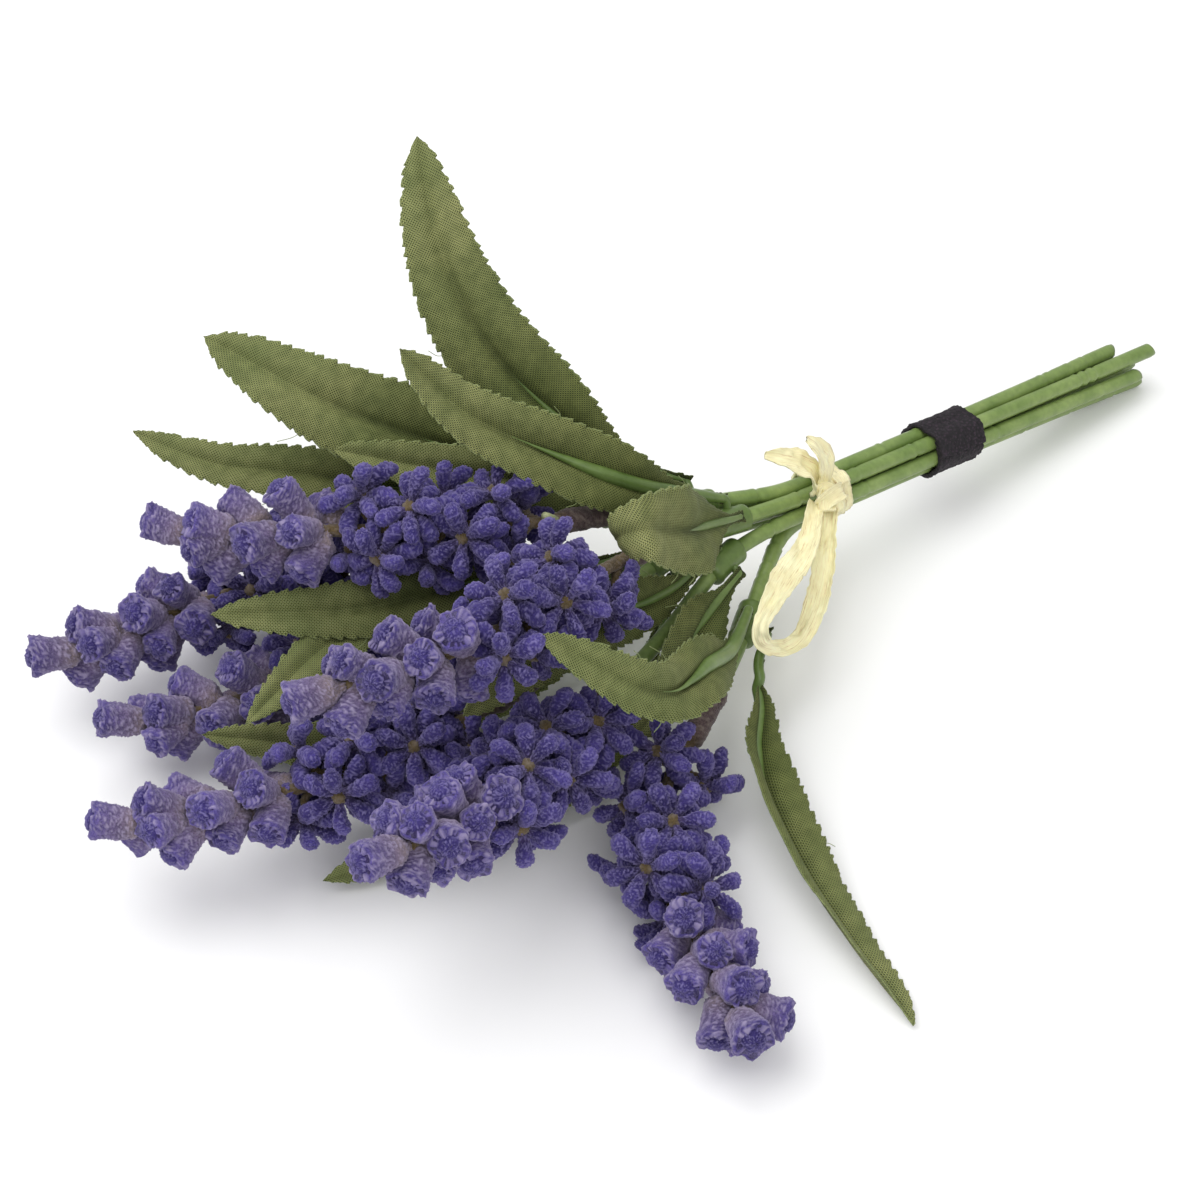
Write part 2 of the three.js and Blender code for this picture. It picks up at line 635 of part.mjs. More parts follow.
const RAFFIA_ENDS = [
  { points: [[36, -23, 27], [34, -22, 33], [30, -20, 36], [26, -18, 38]], widths: [3, 4, 5, 5] },
  { points: [[37, -23, 27], [38, -23, 32], [37, -22, 36], [35, -20, 39]], widths: [3, 4, 5, 6] },
];
const RAFFIA_LOOP = {
  points: [
    [34, -25, 26], [25, -33, 26], [16, -38, 27], [9, -42, 27], [4, -45, 26], [4, -46, 23],
    [8, -46, 19], [14, -45, 17], [21, -41, 18], [27, -36, 20], [32, -31, 22], [36, -27, 25],
  ],
  widths: [3, 4, 5, 6, 4.5, 3, 3.5, 4, 4.5, 4.5, 4, 3],
};

function addRaffia() {
  const bore = SLOT_RADIUS + STEM_RADIUS + GAP;
  const half = bundleAxis.clone().multiplyScalar(TIE_WIDTH / 2);
  const path = new THREE.LineCurve3(TIE_CENTRE.clone().sub(half), TIE_CENTRE.clone().add(half));
  const wrap = tubeAlong(path, bore + TIE_THICKNESS, 12, 1, bore);
  const knot = new THREE.SphereGeometry(3.2, 8, 6);
  knot.translate(TIE_CENTRE.x - 2.5, TIE_CENTRE.y - 6.5, TIE_CENTRE.z + 5);
  const ends = RAFFIA_ENDS.map(({ points, widths }) => ribbon(points, widths, [0.3, -0.6, 0.7]));
  const loop = ribbon(RAFFIA_LOOP.points, RAFFIA_LOOP.widths, [-0.4, -0.3, 0.8]);
  const bundlePath = new THREE.LineCurve3(bundlePoint(-12, null), bundlePoint(14, null));
  const bundle = tubeAlong(bundlePath, bore, 12, 1);
  const loose = [knot, ...ends, loop].map(solidOf).reduce((whole, solid) => whole.add(solid));
  const tie = loose.subtract(solidOf(bundle)).add(solidOf(wrap));
  addPiece('raffia_tie', geometryOf(tie), 'raffia');
}

// --- The bunch ---
stalks.forEach(addStem);
stalks.forEach(addSpine);
for (const stalk of stalks) {
  const leaf = LEAVES.find((one) => stalks[one.stalk] === stalk);
  addCollar(stalk, stalk.tie + leaf.at);
}
LEAVES.forEach((leaf, i) => addLeaf(leaf, i + 1));
stalks.forEach(addBells);
for (const stalk of stalks) {
  let first = 0;
  STARS_PER_TIER.forEach((count, t) => {
    addBudTier(stalk, t === 0 ? 'lower' : 'upper', first, count);
    first += count;
  });
}
addBand();
addRaffia();

// Lays the bunch down on z = 0, below the middle of its box.
bunch.rotation.set(REST_ROLL, REST_PITCH, 0);
const box = new THREE.Box3().setFromObject(bunch, true);
const middle = box.getCenter(new THREE.Vector3());
bunch.position.set(-middle.x, -middle.y, -box.min.z);

export default bunch;
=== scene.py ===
"""The looks of a tied bunch of artificial lavender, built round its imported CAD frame. Metres, +Z up."""
import math

import bpy
import numpy as np
from mathutils import Matrix, Vector


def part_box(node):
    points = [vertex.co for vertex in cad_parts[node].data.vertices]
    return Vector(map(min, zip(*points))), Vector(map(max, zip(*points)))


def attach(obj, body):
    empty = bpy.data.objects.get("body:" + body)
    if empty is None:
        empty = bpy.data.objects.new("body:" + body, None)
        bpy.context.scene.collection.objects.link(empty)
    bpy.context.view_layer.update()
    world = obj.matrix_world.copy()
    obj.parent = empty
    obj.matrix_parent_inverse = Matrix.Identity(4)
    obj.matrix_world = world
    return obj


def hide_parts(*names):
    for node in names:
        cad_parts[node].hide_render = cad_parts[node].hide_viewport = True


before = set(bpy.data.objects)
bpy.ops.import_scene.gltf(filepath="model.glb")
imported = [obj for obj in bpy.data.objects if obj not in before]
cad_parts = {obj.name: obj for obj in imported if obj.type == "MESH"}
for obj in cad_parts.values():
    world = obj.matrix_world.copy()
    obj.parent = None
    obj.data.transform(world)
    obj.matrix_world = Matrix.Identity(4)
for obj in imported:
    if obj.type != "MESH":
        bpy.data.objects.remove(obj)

MM = 0.001
SPIKES = range(1, 8)
LEAVES = range(1, 15)
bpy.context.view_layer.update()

# --- Sizes (metres) ---
STEM_RADIUS = 1.5 * MM
SLEEVE_RADIUS = 2.3 * MM
RACHIS_RADIUS = 1.15 * MM
BUD_REACH = 7.8 * MM  # from the middle of a star to the tip of a bud
BUD_RADIUS = 1.6 * MM
BUD_RING_CAD = 1.6 * MM  # the widest ring of a CAD bud
BELL_LENGTH = 10.5 * MM
BELL_INNER_CAD = 2.5 * MM  # the inner ring of a CAD bell's mouth
BELL_STEP_CAD = 0.5 * MM  # how far that ring lies behind the rim
PEG_RADIUS = 0.7 * MM
FUZZ = 0.42 * MM  # the length of the flock fibres
STEM_STEP = 0.6 * MM  # between the rings of points of a stem
SPINE_STEP = 0.5 * MM  # the same for a flower stalk
LEAF_STEP = 0.25 * MM
RAFFIA_STEP = 0.4 * MM
TAPE_WIDTH = 12.3 * MM
TAPE_WRAP = math.radians(398)  # once round the stems, and a lap
STUB_RADIUS = 1.25 * MM  # the blunt end of a peg in the middle of its buds
COLLAR_RADIUS = 2.7 * MM
LEAF_THICKNESS = 0.22 * MM
RIB_SHARE = 0.52  # how much of a leaf its moulded rib runs under
RIB_SHARE_ABOVE = 0.66  # the same where the rib is on the upper face
RIBS_ABOVE = (2, 11)  # leaves that show their rib on the upper face
TOOTH_PITCH = 2.6 * MM
TOOTH_DEPTH = 0.7 * MM
BLUNT_FROM = 0.9  # from this share of a leaf on, its tip is rounded
WEAVE_PITCH = 0.62 * MM
SLOT_RADIUS = 3.3 * MM
BAND_THICKNESS = 0.8 * MM

rng = np.random.default_rng(11)


# --- Reading the CAD frame ---
class Solid:
    """A CAD node's points and how they join, with the doubled points of its flat faces merged."""

    def __init__(self, name):
        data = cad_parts[name].data
        count = len(data.vertices)
        points = np.empty(count * 3)
        data.vertices.foreach_get("co", points)
        points = points.reshape(count, 3)
        keys, first, merged = np.unique(
            np.round(points / 2e-6).astype(np.int64), axis=0, return_index=True, return_inverse=True
        )
        merged = merged.reshape(-1)
        self.points = points[first]
        self.links = [set() for _ in range(len(keys))]
        for edge in data.edges:
            a, b = merged[edge.vertices[0]], merged[edge.vertices[1]]
            if a != b:
                self.links[a].add(b)
                self.links[b].add(a)

    def levels(self, seed):
        """The rings of points met one after another from a first ring."""
        seen, ring, rings = set(seed), sorted(seed), []
        while ring:
            rings.append(ring)
            ring = sorted({n for p in ring for n in self.links[p]} - seen)
            seen.update(ring)
        return rings

    def ring_centres(self, start, sides):
        """The centres of a tube's rings, from the end nearest to start."""
        near = np.argsort(np.linalg.norm(self.points - start, axis=1))[:sides]
        return np.array([self.points[ring].mean(0) for ring in self.levels(near)])


def unit(v):
    return v / np.linalg.norm(v)


def smooth_line(points, spacing):
    """An even centripetal Catmull-Rom line through the points."""
    p = np.vstack([2 * points[0] - points[1], points, 2 * points[-1] - points[-2]])
    out = []
    for i in range(1, len(p) - 2):
        chords = np.linalg.norm(np.diff(p[i - 1:i + 3], axis=0), axis=1)
        knots = np.concatenate([[0], np.cumsum(np.sqrt(chords))])
        count = max(2, int(np.linalg.norm(p[i + 1] - p[i]) / spacing * 4))
        for t in np.linspace(knots[1], knots[2], count, endpoint=False):
            a = [((knots[k + 1] - t) * p[i - 1 + k] + (t - knots[k]) * p[i + k]) / (knots[k + 1] - knots[k])
                 for k in range(3)]
            b = [((knots[k + 2] - t) * a[k] + (t - knots[k]) * a[k + 1]) / (knots[k + 2] - knots[k])
                 for k in range(2)]
            out.append(((knots[2] - t) * b[0] + (t - knots[1]) * b[1]) / (knots[2] - knots[1]))
    out.append(p[-2])
    out = np.array(out)
    along = np.concatenate([[0], np.cumsum(np.linalg.norm(np.diff(out, axis=0), axis=1))])
    even = np.linspace(0, along[-1], max(3, int(round(along[-1] / spacing)) + 1))
    return np.column_stack([np.interp(even, along, out[:, k]) for k in range(3)])


def carried_frames(line):
    """Tangent, side and up at each point of a line, turned as little as possible along it."""
    tangent = np.gradient(line, axis=0)
    tangent /= np.linalg.norm(tangent, axis=1)[:, None]
    helper = np.array([0, 0, 1.0]) if abs(tangent[0][2]) < 0.9 else np.array([1.0, 0, 0])
    side = [unit(np.cross(tangent[0], helper))]
    for t in tangent[1:]:
        side.append(unit(side[-1] - t * np.dot(side[-1], t)))
    side = np.array(side)
    return tangent, side, np.cross(tangent, side)


# --- Smooth three-dimensional noise, for lumps, crinkles and flock ---
HASH_PRIMES = (73856093, 19349663, 83492791, 2654435761, 1274126177)


def lattice(cells, seed):
    """A repeatable value from -1 to 1 for each cell: a hash of its whole-numbered place."""
    first, second, third, fourth, last = HASH_PRIMES
    mix = (cells[..., 0] * first) ^ (cells[..., 1] * second) ^ (cells[..., 2] * third) ^ (seed * fourth)
    mix = (mix ^ (mix >> 13)) * last
    return ((mix ^ (mix >> 16)) & 0xFFFF) / 32767.5 - 1


def noise(points, size, seed=0):
    """Smooth values from -1 to 1 at the points, with lumps of about the given size."""
    scaled = np.asarray(points) / size
    cell = np.floor(scaled).astype(np.int64)
    part = scaled - cell
    part = part * part * (3 - 2 * part)
    total = 0
    for corner in range(8):
        step = np.array([corner & 1, (corner >> 1) & 1, (corner >> 2) & 1])
        weight = np.prod(np.where(step, part, 1 - part), axis=-1)
        total = total + weight * lattice(cell + step, seed)
    return total


# --- Building meshes from grids of points ---
class Piece:
    """Collects closed grids of points and makes one object of them.

    Each point carries three marks for the materials. On flock they are the share of the way from root
    to tip, the tone, and how far a fibre sticks out. On a leaf they are the share of its length, the
    shade in its crease, and how pale its cut edge is.
    """

    def __init__(self):
        self.points, self.quads, self.tris, self.marks, self.slots, self.uvs = [], [], [], [], [], []
        self.total = 0

    def grid(self, rows, marks=(0, 0, 0), slot=0, uv=None):
        """A tube of rings (rows x columns x 3) with a middle point closing each end."""
        count, sides = rows.shape[:2]
        body = rows.reshape(-1, 3)
        ends = np.array([rows[0].mean(0), rows[-1].mean(0)])
        base = self.total
        i, j = np.meshgrid(np.arange(count - 1), np.arange(sides), indexing="ij")
        a, b = base + i * sides + j, base + i * sides + (j + 1) % sides
        quads = np.stack([a, b, b + sides, a + sides], -1).reshape(-1, 4)
        k = np.arange(sides)
        first, last = base + count * sides, base + count * sides + 1
        tail = base + (count - 1) * sides
        tris = np.vstack([
            np.stack([np.full(sides, first), base + (k + 1) % sides, base + k], -1),
            np.stack([np.full(sides, last), tail + k, tail + (k + 1) % sides], -1),
        ])
        self.points += [body, ends]
        self.quads.append(quads)
        self.tris.append(tris)
        self.slots.append((len(quads), len(tris), slot))
        marks = np.broadcast_to(np.asarray(marks, float), (count, sides, 3)).reshape(-1, 3)
        self.marks += [marks, marks[[0, -1]]]
        places = np.zeros((count * sides, 2)) if uv is None else uv.reshape(-1, 2)
        self.uvs += [places, places[[0, -1]]]
        self.total += count * sides + 2

    def make(self, name, materials, fuzz=0.0):
        points = np.vstack(self.points)
        faces = [list(map(int, f)) for q, t in zip(self.quads, self.tris) for f in [*q, *t]]
        mesh = bpy.data.meshes.new(name)
        mesh.from_pydata(points.tolist(), [], faces)
        index = np.concatenate([np.full(q + t, slot) for q, t, slot in self.slots])
        mesh.polygons.foreach_set("material_index", index.astype(np.int32))
        mesh.polygons.foreach_set("use_smooth", np.ones(len(faces), bool))
        values = np.vstack(self.marks)
        layer = mesh.uv_layers.new(name="UVMap")
        corner = np.empty(len(mesh.loops), np.int32)
        mesh.loops.foreach_get("vertex_index", corner)
        layer.data.foreach_set("uv", np.vstack(self.uvs)[corner].ravel())
        if fuzz:
            normals = np.empty(len(points) * 3)
            mesh.vertices.foreach_get("normal", normals)
            push = rng.random(len(points)) ** 2
            points = points + normals.reshape(-1, 3) * (fuzz * (push - 0.25))[:, None]
            points[:, 2] = np.maximum(points[:, 2], 0.05 * MM * push)  # soft parts lie pressed on the surface
            mesh.vertices.foreach_set("co", points.ravel())
            # how far each point is pushed out: the flock materials paint a highlight by it
            values[:, 2] = push
        marks = mesh.attributes.new("marks", "FLOAT_VECTOR", "POINT")
        marks.data.foreach_set("vector", values.ravel())
        mesh.update()
        mesh.validate()
        obj = bpy.data.objects.new(name, mesh)
        bpy.context.scene.collection.objects.link(obj)
        for material in materials:
            mesh.materials.append(material)
        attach(obj, "root")
        return obj


def turned(profile, sides, root, direction, spin=0.0, lobes=None):
    """A form of revolution: profile rows are (along, radius); lobes(angle, row) scales the radius."""
    helper = np.array([0, 0, 1.0]) if abs(direction[2]) < 0.9 else np.array([1.0, 0, 0])
    side = unit(np.cross(direction, helper))
    up = np.cross(direction, side)
    angle = spin + np.arange(sides) * 2 * math.pi / sides
    around = np.cos(angle)[:, None] * side + np.sin(angle)[:, None] * up
    rows = []
    for n, (along, radius) in enumerate(profile):
        scale, ahead = (1, 0) if lobes is None else lobes(angle, n)
        ring = root + direction * along + around * (radius * np.ones(sides) * scale)[:, None]
        rows.append(ring + direction * (np.ones(sides) * ahead)[:, None])
    return np.array(rows)


def tube(line, radius, sides):
    """A tube along a line, with a radius for each point."""
    _, side, up = carried_frames(line)
    radius = np.broadcast_to(radius, len(line))
    angle = (np.arange(sides) * 2 * math.pi / sides)[None, :, None]
    offset = np.cos(angle) * side[:, None] + np.sin(angle) * up[:, None]
    return line[:, None] + offset * radius[:, None, None]


# --- Materials ---
def new_material(name):
    material = bpy.data.materials.new(name)
    material.use_nodes = True
    tree = material.node_tree
    return material, tree, tree.nodes["Principled BSDF"]


def node(tree, kind, inputs=None, **settings):
    made = tree.nodes.new(kind)
    for key, value in settings.items():
        setattr(made, key, value)
    for key, value in (inputs or {}).items():
        if isinstance(value, bpy.types.NodeSocket):
            tree.links.new(value, made.inputs[key])
        else:
            made.inputs[key].default_value = value
    return made


def ramp(tree, factor, stops):
    made = node(tree, "ShaderNodeValToRGB", {"Fac": factor})
    elements = made.color_ramp.elements
    while len(elements) < len(stops):
        elements.new(0.5)
    for element, (place, colour) in zip(elements, stops):
        element.position = place
        element.color = (*colour, 1)
    return made.outputs["Color"]


def mixed(tree, factor, a, b, mode="MIX"):
    made = node(tree, "ShaderNodeMix", {"Factor": factor}, data_type="RGBA", blend_type=mode)
    for socket, value in ((made.inputs[6], a), (made.inputs[7], b)):
        if isinstance(value, bpy.types.NodeSocket):
            tree.links.new(value, socket)
        else:
            socket.default_value = (*value, 1)
    return made.outputs[2]


def value_noise(tree, scale, detail=2, roughness=0.5, where=None):
    place = where or node(tree, "ShaderNodeTexCoord").outputs["Object"]
    made = node(tree, "ShaderNodeTexNoise",
                {"Vector": place, "Scale": scale, "Detail": detail, "Roughness": roughness})
    return made.outputs["Fac"]


def bump(tree, shader, height, distance, strength=1.0):
    made = node(tree, "ShaderNodeBump", {"Height": height, "Distance": distance, "Strength": strength})
    tree.links.new(made.outputs["Normal"], shader.inputs["Normal"])


def flock(name, root_colour, body_colour, tip_colour, fibre_tip_highlight_colour, sheen_colour):
    """Flocked plastic: coloured from root to tip by the marks, speckled like short fibres, with a painted
    highlight on the points that stick out furthest.
    """
    material, tree, shader = new_material(name)
    marks = node(tree, "ShaderNodeAttribute", attribute_name="marks")
    parts = node(tree, "ShaderNodeSeparateXYZ", {"Vector": marks.outputs["Vector"]})
    colour = ramp(tree, parts.outputs["X"], [(0.0, root_colour), (0.38, body_colour), (1.0, tip_colour)])
    speckle = value_noise(tree, 3200, 3, 0.7)
    shade = ramp(tree, speckle, [(0.3, (0.5, 0.5, 0.52)), (0.7, (1.55, 1.5, 1.4))])
    colour = mixed(tree, 1.0, colour, shade, "MULTIPLY")
    patches = value_noise(tree, 260, 2)
    tone = ramp(tree, patches, [(0.3, (0.8, 0.8, 0.86)), (0.7, (1.2, 1.18, 1.12))])
    colour = mixed(tree, 1.0, colour, tone, "MULTIPLY")
    light = node(tree, "ShaderNodeMath", {0: parts.outputs["Y"], 1: 0.75}, operation="ADD")
    own = node(tree, "ShaderNodeCombineColor",
               {"Red": light.outputs[0], "Green": light.outputs[0], "Blue": light.outputs[0]})
    colour = mixed(tree, 1.0, colour, own.outputs["Color"], "MULTIPLY")
    # painted highlight: points pushed furthest out are paled towards a lavender highlight colour, like lit
    # fibre tips over shaded roots
    fibre = ramp(tree, parts.outputs["Z"], [(0.2, (0, 0, 0)), (1.0, (0.72, 0.72, 0.72))])
    colour = mixed(tree, fibre, colour, fibre_tip_highlight_colour)
    tree.links.new(colour, shader.inputs["Base Color"])
    shader.inputs["Roughness"].default_value = 0.95
    shader.inputs["Specular IOR Level"].default_value = 0.15
    shader.inputs["Sheen Weight"].default_value = 0.5
    shader.inputs["Sheen Roughness"].default_value = 0.45
    shader.inputs["Sheen Tint"].default_value = (*sheen_colour, 1)
    bump(tree, shader, speckle, 0.2 * MM, 1.0)
    return material


def plastic(name, dark, light, roughness, streak=900):
    material, tree, shader = new_material(name)
    blotch = value_noise(tree, 140, 3)
    fine = value_noise(tree, streak, 2)
    colour = ramp(tree, blotch, [(0.3, dark), (0.72, light)])
    shade = ramp(tree, fine, [(0.3, (0.9, 0.9, 0.9)), (0.7, (1.1, 1.1, 1.08))])
    colour = mixed(tree, 1.0, colour, shade, "MULTIPLY")
    tree.links.new(colour, shader.inputs["Base Color"])
    limits = {"To Min": roughness - 0.08, "To Max": roughness + 0.12}
    rough = node(tree, "ShaderNodeMapRange", {"Value": fine, **limits})
    tree.links.new(rough.outputs[0], shader.inputs["Roughness"])
    bump(tree, shader, fine, 0.05 * MM, 0.5)
    return material


def leaf_cloth():
    """Woven polyester: warp and weft threads, painted light through the gaps, and painted shade in the crease
    and towards the foot.
    """
    material, tree, shader = new_material("leaf_weave")
    place = node(tree, "ShaderNodeUVMap", uv_map="UVMap").outputs["UV"]
    turns = 2 * math.pi / (WEAVE_PITCH / MM)
    parts = node(tree, "ShaderNodeSeparateXYZ", {"Vector": place})

    def wave(axis, shift=0.0):
        terms = {0: parts.outputs[axis], 1: turns, 2: shift}
        angle = node(tree, "ShaderNodeMath", terms, operation="MULTIPLY_ADD")
        return node(tree, "ShaderNodeMath", {0: angle.outputs[0]}, operation="SINE").outputs[0]

    def product(a, b):
        return node(tree, "ShaderNodeMath", {0: a, 1: b}, operation="MULTIPLY").outputs[0]

    over = node(tree, "ShaderNodeMapRange", {"Value": product(wave("X"), wave("Y")), "From Min": -1.0})
    gap = product(wave("X", math.pi / 2), wave("Y", math.pi / 2))
    gap = node(tree, "ShaderNodeMath", {0: gap}, operation="ABSOLUTE").outputs[0]
    slub = value_noise(tree, 420, 3)
    marks = node(tree, "ShaderNodeAttribute", attribute_name="marks")
    tone = node(tree, "ShaderNodeSeparateXYZ", {"Vector": marks.outputs["Vector"]})
    colour = ramp(tree, over.outputs[0], [(0.2, (0.04, 0.05, 0.01)), (0.8, (0.185, 0.2, 0.055))])
    # painted light: the gaps in the weave are tinted pale green, as if lit from behind
    gap_painted_light = ramp(tree, gap, [(0.5, (0, 0, 0)), (0.95, (0.75, 0.75, 0.75))])
    colour = mixed(tree, gap_painted_light, colour, (0.42, 0.46, 0.22))
    shade = ramp(tree, slub, [(0.3, (0.82, 0.84, 0.8)), (0.7, (1.2, 1.18, 1.2))])
    colour = mixed(tree, 1.0, colour, shade, "MULTIPLY")
    patch = ramp(tree, value_noise(tree, 60, 2), [(0.3, (0.85, 0.9, 0.85)), (0.7, (1.15, 1.1, 1.15))])
    colour = mixed(tree, 1.0, colour, patch, "MULTIPLY")
    # painted shade: each leaf is darker towards its foot, where it is shaded among the stems and the other
    # leaves
    foot_painted_shade_stops = [(0.0, (0.34, 0.38, 0.28)), (0.35, (0.62, 0.66, 0.55)), (0.85, (1.0, 1.0, 1.1))]
    base = ramp(tree, tone.outputs["X"], foot_painted_shade_stops)
    colour = mixed(tree, 1.0, colour, base, "MULTIPLY")
    # painted shade: the leaf is darkened along its crease, where the fold shades it
    painted_crease_shade = ramp(tree, tone.outputs["Y"], [(0.0, (1, 1, 1)), (1.0, (0.3, 0.34, 0.28))])
    colour = mixed(tree, 1.0, colour, painted_crease_shade, "MULTIPLY")
    colour = mixed(tree, tone.outputs["Z"], colour, (0.3, 0.36, 0.16))
    tree.links.new(colour, shader.inputs["Base Color"])
    shader.inputs["Roughness"].default_value = 0.72
    shader.inputs["Specular IOR Level"].default_value = 0.2
    shader.inputs["Sheen Weight"].default_value = 0.04
    shader.inputs["Sheen Roughness"].default_value = 0.5
    shader.inputs["Sheen Tint"].default_value = (0.8, 0.9, 0.6, 1)
    bump(tree, shader, over.outputs[0], 0.08 * MM, 0.9)
    return material


def raffia_fibre():
    material, tree, shader = new_material("raffia_strand")
    place = node(tree, "ShaderNodeUVMap", uv_map="UVMap").outputs["UV"]
    stretched = node(tree, "ShaderNodeMapping", {"Vector": place, "Scale": (0.12, 3.2, 1.0)}).outputs[0]
    fibres = value_noise(tree, 1.6, 4, 0.6, stretched)
    broad = value_noise(tree, 160, 3)
    straw = [(0.3, (0.52, 0.33, 0.18)), (0.4, (0.84, 0.76, 0.48)), (0.65, (0.93, 0.93, 0.62))]
    colour = ramp(tree, fibres, straw)
    shade = ramp(tree, broad, [(0.3, (0.88, 0.84, 0.74)), (0.65, (1.05, 1.05, 1.02))])
    colour = mixed(tree, 1.0, colour, shade, "MULTIPLY")
    tree.links.new(colour, shader.inputs["Base Color"])
    shader.inputs["Roughness"].default_value = 0.55
    shader.inputs["Sheen Weight"].default_value = 0.2
    bump(tree, shader, fibres, 0.12 * MM, 0.9)
    return material


def band_cloth():
    """Dark hook-and-loop tape: rows of tiny hooks, with pale tips."""
    material, tree, shader = new_material("hook_tape")
    cells = node(tree, "ShaderNodeTexVoronoi",
                 {"Vector": node(tree, "ShaderNodeTexCoord").outputs["Object"], "Scale": 1500.0})
    tuft = value_noise(tree, 1300, 3, 0.7)
    hooks = [(0.1, (0.03, 0.018, 0.027)), (0.5, (0.006, 0.004, 0.006))]
    colour = ramp(tree, cells.outputs["Distance"], hooks)
    shade = ramp(tree, tuft, [(0.35, (0.5, 0.5, 0.5)), (0.75, (1.9, 1.8, 2.0))])
    colour = mixed(tree, 1.0, colour, shade, "MULTIPLY")
    tree.links.new(colour, shader.inputs["Base Color"])
    shader.inputs["Roughness"].default_value = 0.8
    shader.inputs["Sheen Weight"].default_value = 0.02
    shader.inputs["Sheen Tint"].default_value = (0.75, 0.6, 0.8, 1)
    bump(tree, shader, tuft, 0.25 * MM, 1.0)
    return material


# the fourth colour of each flock is the painted highlight of its fibre tips
bud_flock = flock("bud_flock", (0.06, 0.046, 0.06), (0.028, 0.021, 0.108), (0.06, 0.048, 0.215),
                  (0.27, 0.235, 0.48), (0.52, 0.46, 0.8))
bell_flock = flock("bell_flock", (0.21, 0.17, 0.175), (0.13, 0.102, 0.19), (0.068, 0.054, 0.22),
                   (0.4, 0.345, 0.5), (0.6, 0.54, 0.8))
stalk_flock = flock("stalk_flock", (0.085, 0.06, 0.062), (0.085, 0.062, 0.04), (0.12, 0.09, 0.042),
                    (0.22, 0.18, 0.15), (0.6, 0.55, 0.55))
stem_plastic = plastic("stem_plastic", (0.135, 0.21, 0.05), (0.235, 0.32, 0.1), 0.36)
collar_plastic = plastic("collar_plastic", (0.09, 0.15, 0.032), (0.14, 0.21, 0.055), 0.38)
cut_face = plastic("cut_face", (0.2, 0.3, 0.11), (0.28, 0.38, 0.17), 0.6)
pin_plastic = plastic("pin_plastic", (0.3, 0.33, 0.17), (0.4, 0.42, 0.24), 0.5)
leaf_weave = leaf_cloth()
raffia_strand = raffia_fibre()
hook_tape = band_cloth()


# --- Stems ---
def stem_line(number):
    """The stem's middle line, from the cut end to the sleeve."""
    solid = Solid(f"stem_{number}")
    cut_end = solid.points[np.argmax(solid.points[:, 0])]
    return smooth_line(solid.ring_centres(cut_end, 8), STEM_STEP)


def make_stem(number):
    line = stem_lines[number]
    along = np.arange(len(line)) * STEM_STEP
    radius = STEM_RADIUS * (1 + 0.035 * noise(line * [1, 1, 1], 14 * MM, number))
    for nick in rng.uniform(0.04, 0.8, 7) * along[-1]:
        depth = rng.uniform(0.12, 0.3) * MM
        radius -= depth * np.exp(-((along - nick) / (0.45 * MM)) ** 2)
        radius += 0.6 * depth * np.exp(-((along - nick - 0.9 * MM) / (0.4 * MM)) ** 2)
    radius[0] *= 0.9
    rows = tube(line, radius, 24)
    seam = np.zeros((1, 24, 1))
    seam[0, [0, 12], 0] = 0.09 * MM
    outward = rows - line[:, None]
    rows = rows + seam * outward / np.linalg.norm(outward, axis=2, keepdims=True)
    slope = rng.uniform(-0.35, 0.35, 2)
    tangent, side, up = carried_frames(line[:6])
    flat = (outward[0] @ side[0]) * slope[0] + (outward[0] @ up[0]) * slope[1]
    rows[0] += flat[:, None] * tangent[0]
    piece = Piece()
    piece.grid(rows)
    stem = piece.make(f"moulded_stem_{number}", [stem_plastic, cut_face])
    for polygon in stem.data.polygons:
        if len(polygon.vertices) == 3 and polygon.center[0] > stem_lines[number][20][0]:
            polygon.material_index = 1
    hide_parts(f"stem_{number}")


# --- Flower spikes ---
def spine_line(number):
    """The flower stalk's middle line, from the foot of the sleeve past the foot of each bell."""
    foot = stem_lines[number][-1]
    rings = Solid(f"spike_{number}_spine").ring_centres(foot, 6)
    roots = [root for root, _ in read_bells(Solid(f"spike_{number}_bells"))]
    roots.sort(key=lambda root: np.linalg.norm(root - foot))
    return smooth_line(np.vstack([rings, roots]), SPINE_STEP)


def make_spine(number):
    line = spine_lines[number]
    along = np.arange(len(line)) * SPINE_STEP
    share = np.clip((along - 12 * MM) / (4 * MM), 0, 1)
    share = share * share * (3 - 2 * share)
    radius = SLEEVE_RADIUS * (1 - share) + RACHIS_RADIUS * share
    radius *= 1 + 0.12 * noise(line, 2.6 * MM, number)
    radius[:2] *= [0.75, 0.93]
    rows = tube(line, radius, 22)
    rows += 0.1 * MM * noise(rows, 0.7 * MM, 5)[..., None] * (rows - line[:, None]) / radius[:, None, None]
    marks = np.zeros((len(line), 22, 3))
    marks[..., 0] = share[:, None] * 0.8
    marks[..., 1] = 0.25
    piece = Piece()
    piece.grid(rows, marks)
    add_bare_pin(piece, line, 28, rng.uniform(0, 6))
    spine = piece.make(f"flocked_spine_{number}", [stalk_flock, pin_plastic], 0.2 * MM)
    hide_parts(f"spike_{number}_spine")


def add_bare_pin(piece, line, place, turn):
    """A ribbed green pin on the stalk that has lost its star."""
    tangent, side, up = (part[place] for part in carried_frames(line))
    out = unit(math.cos(turn) * side + math.sin(turn) * up + 0.8 * tangent)
    along = np.linspace(0, 6.5, 40) * MM
    radius = (0.72 + 0.09 * np.sign(np.sin(along / (0.13 * MM)))) * MM
    radius[-2:] *= [0.85, 0.4]
    piece.grid(tube(line[place] + out * along[:, None], radius, 12), slot=1)


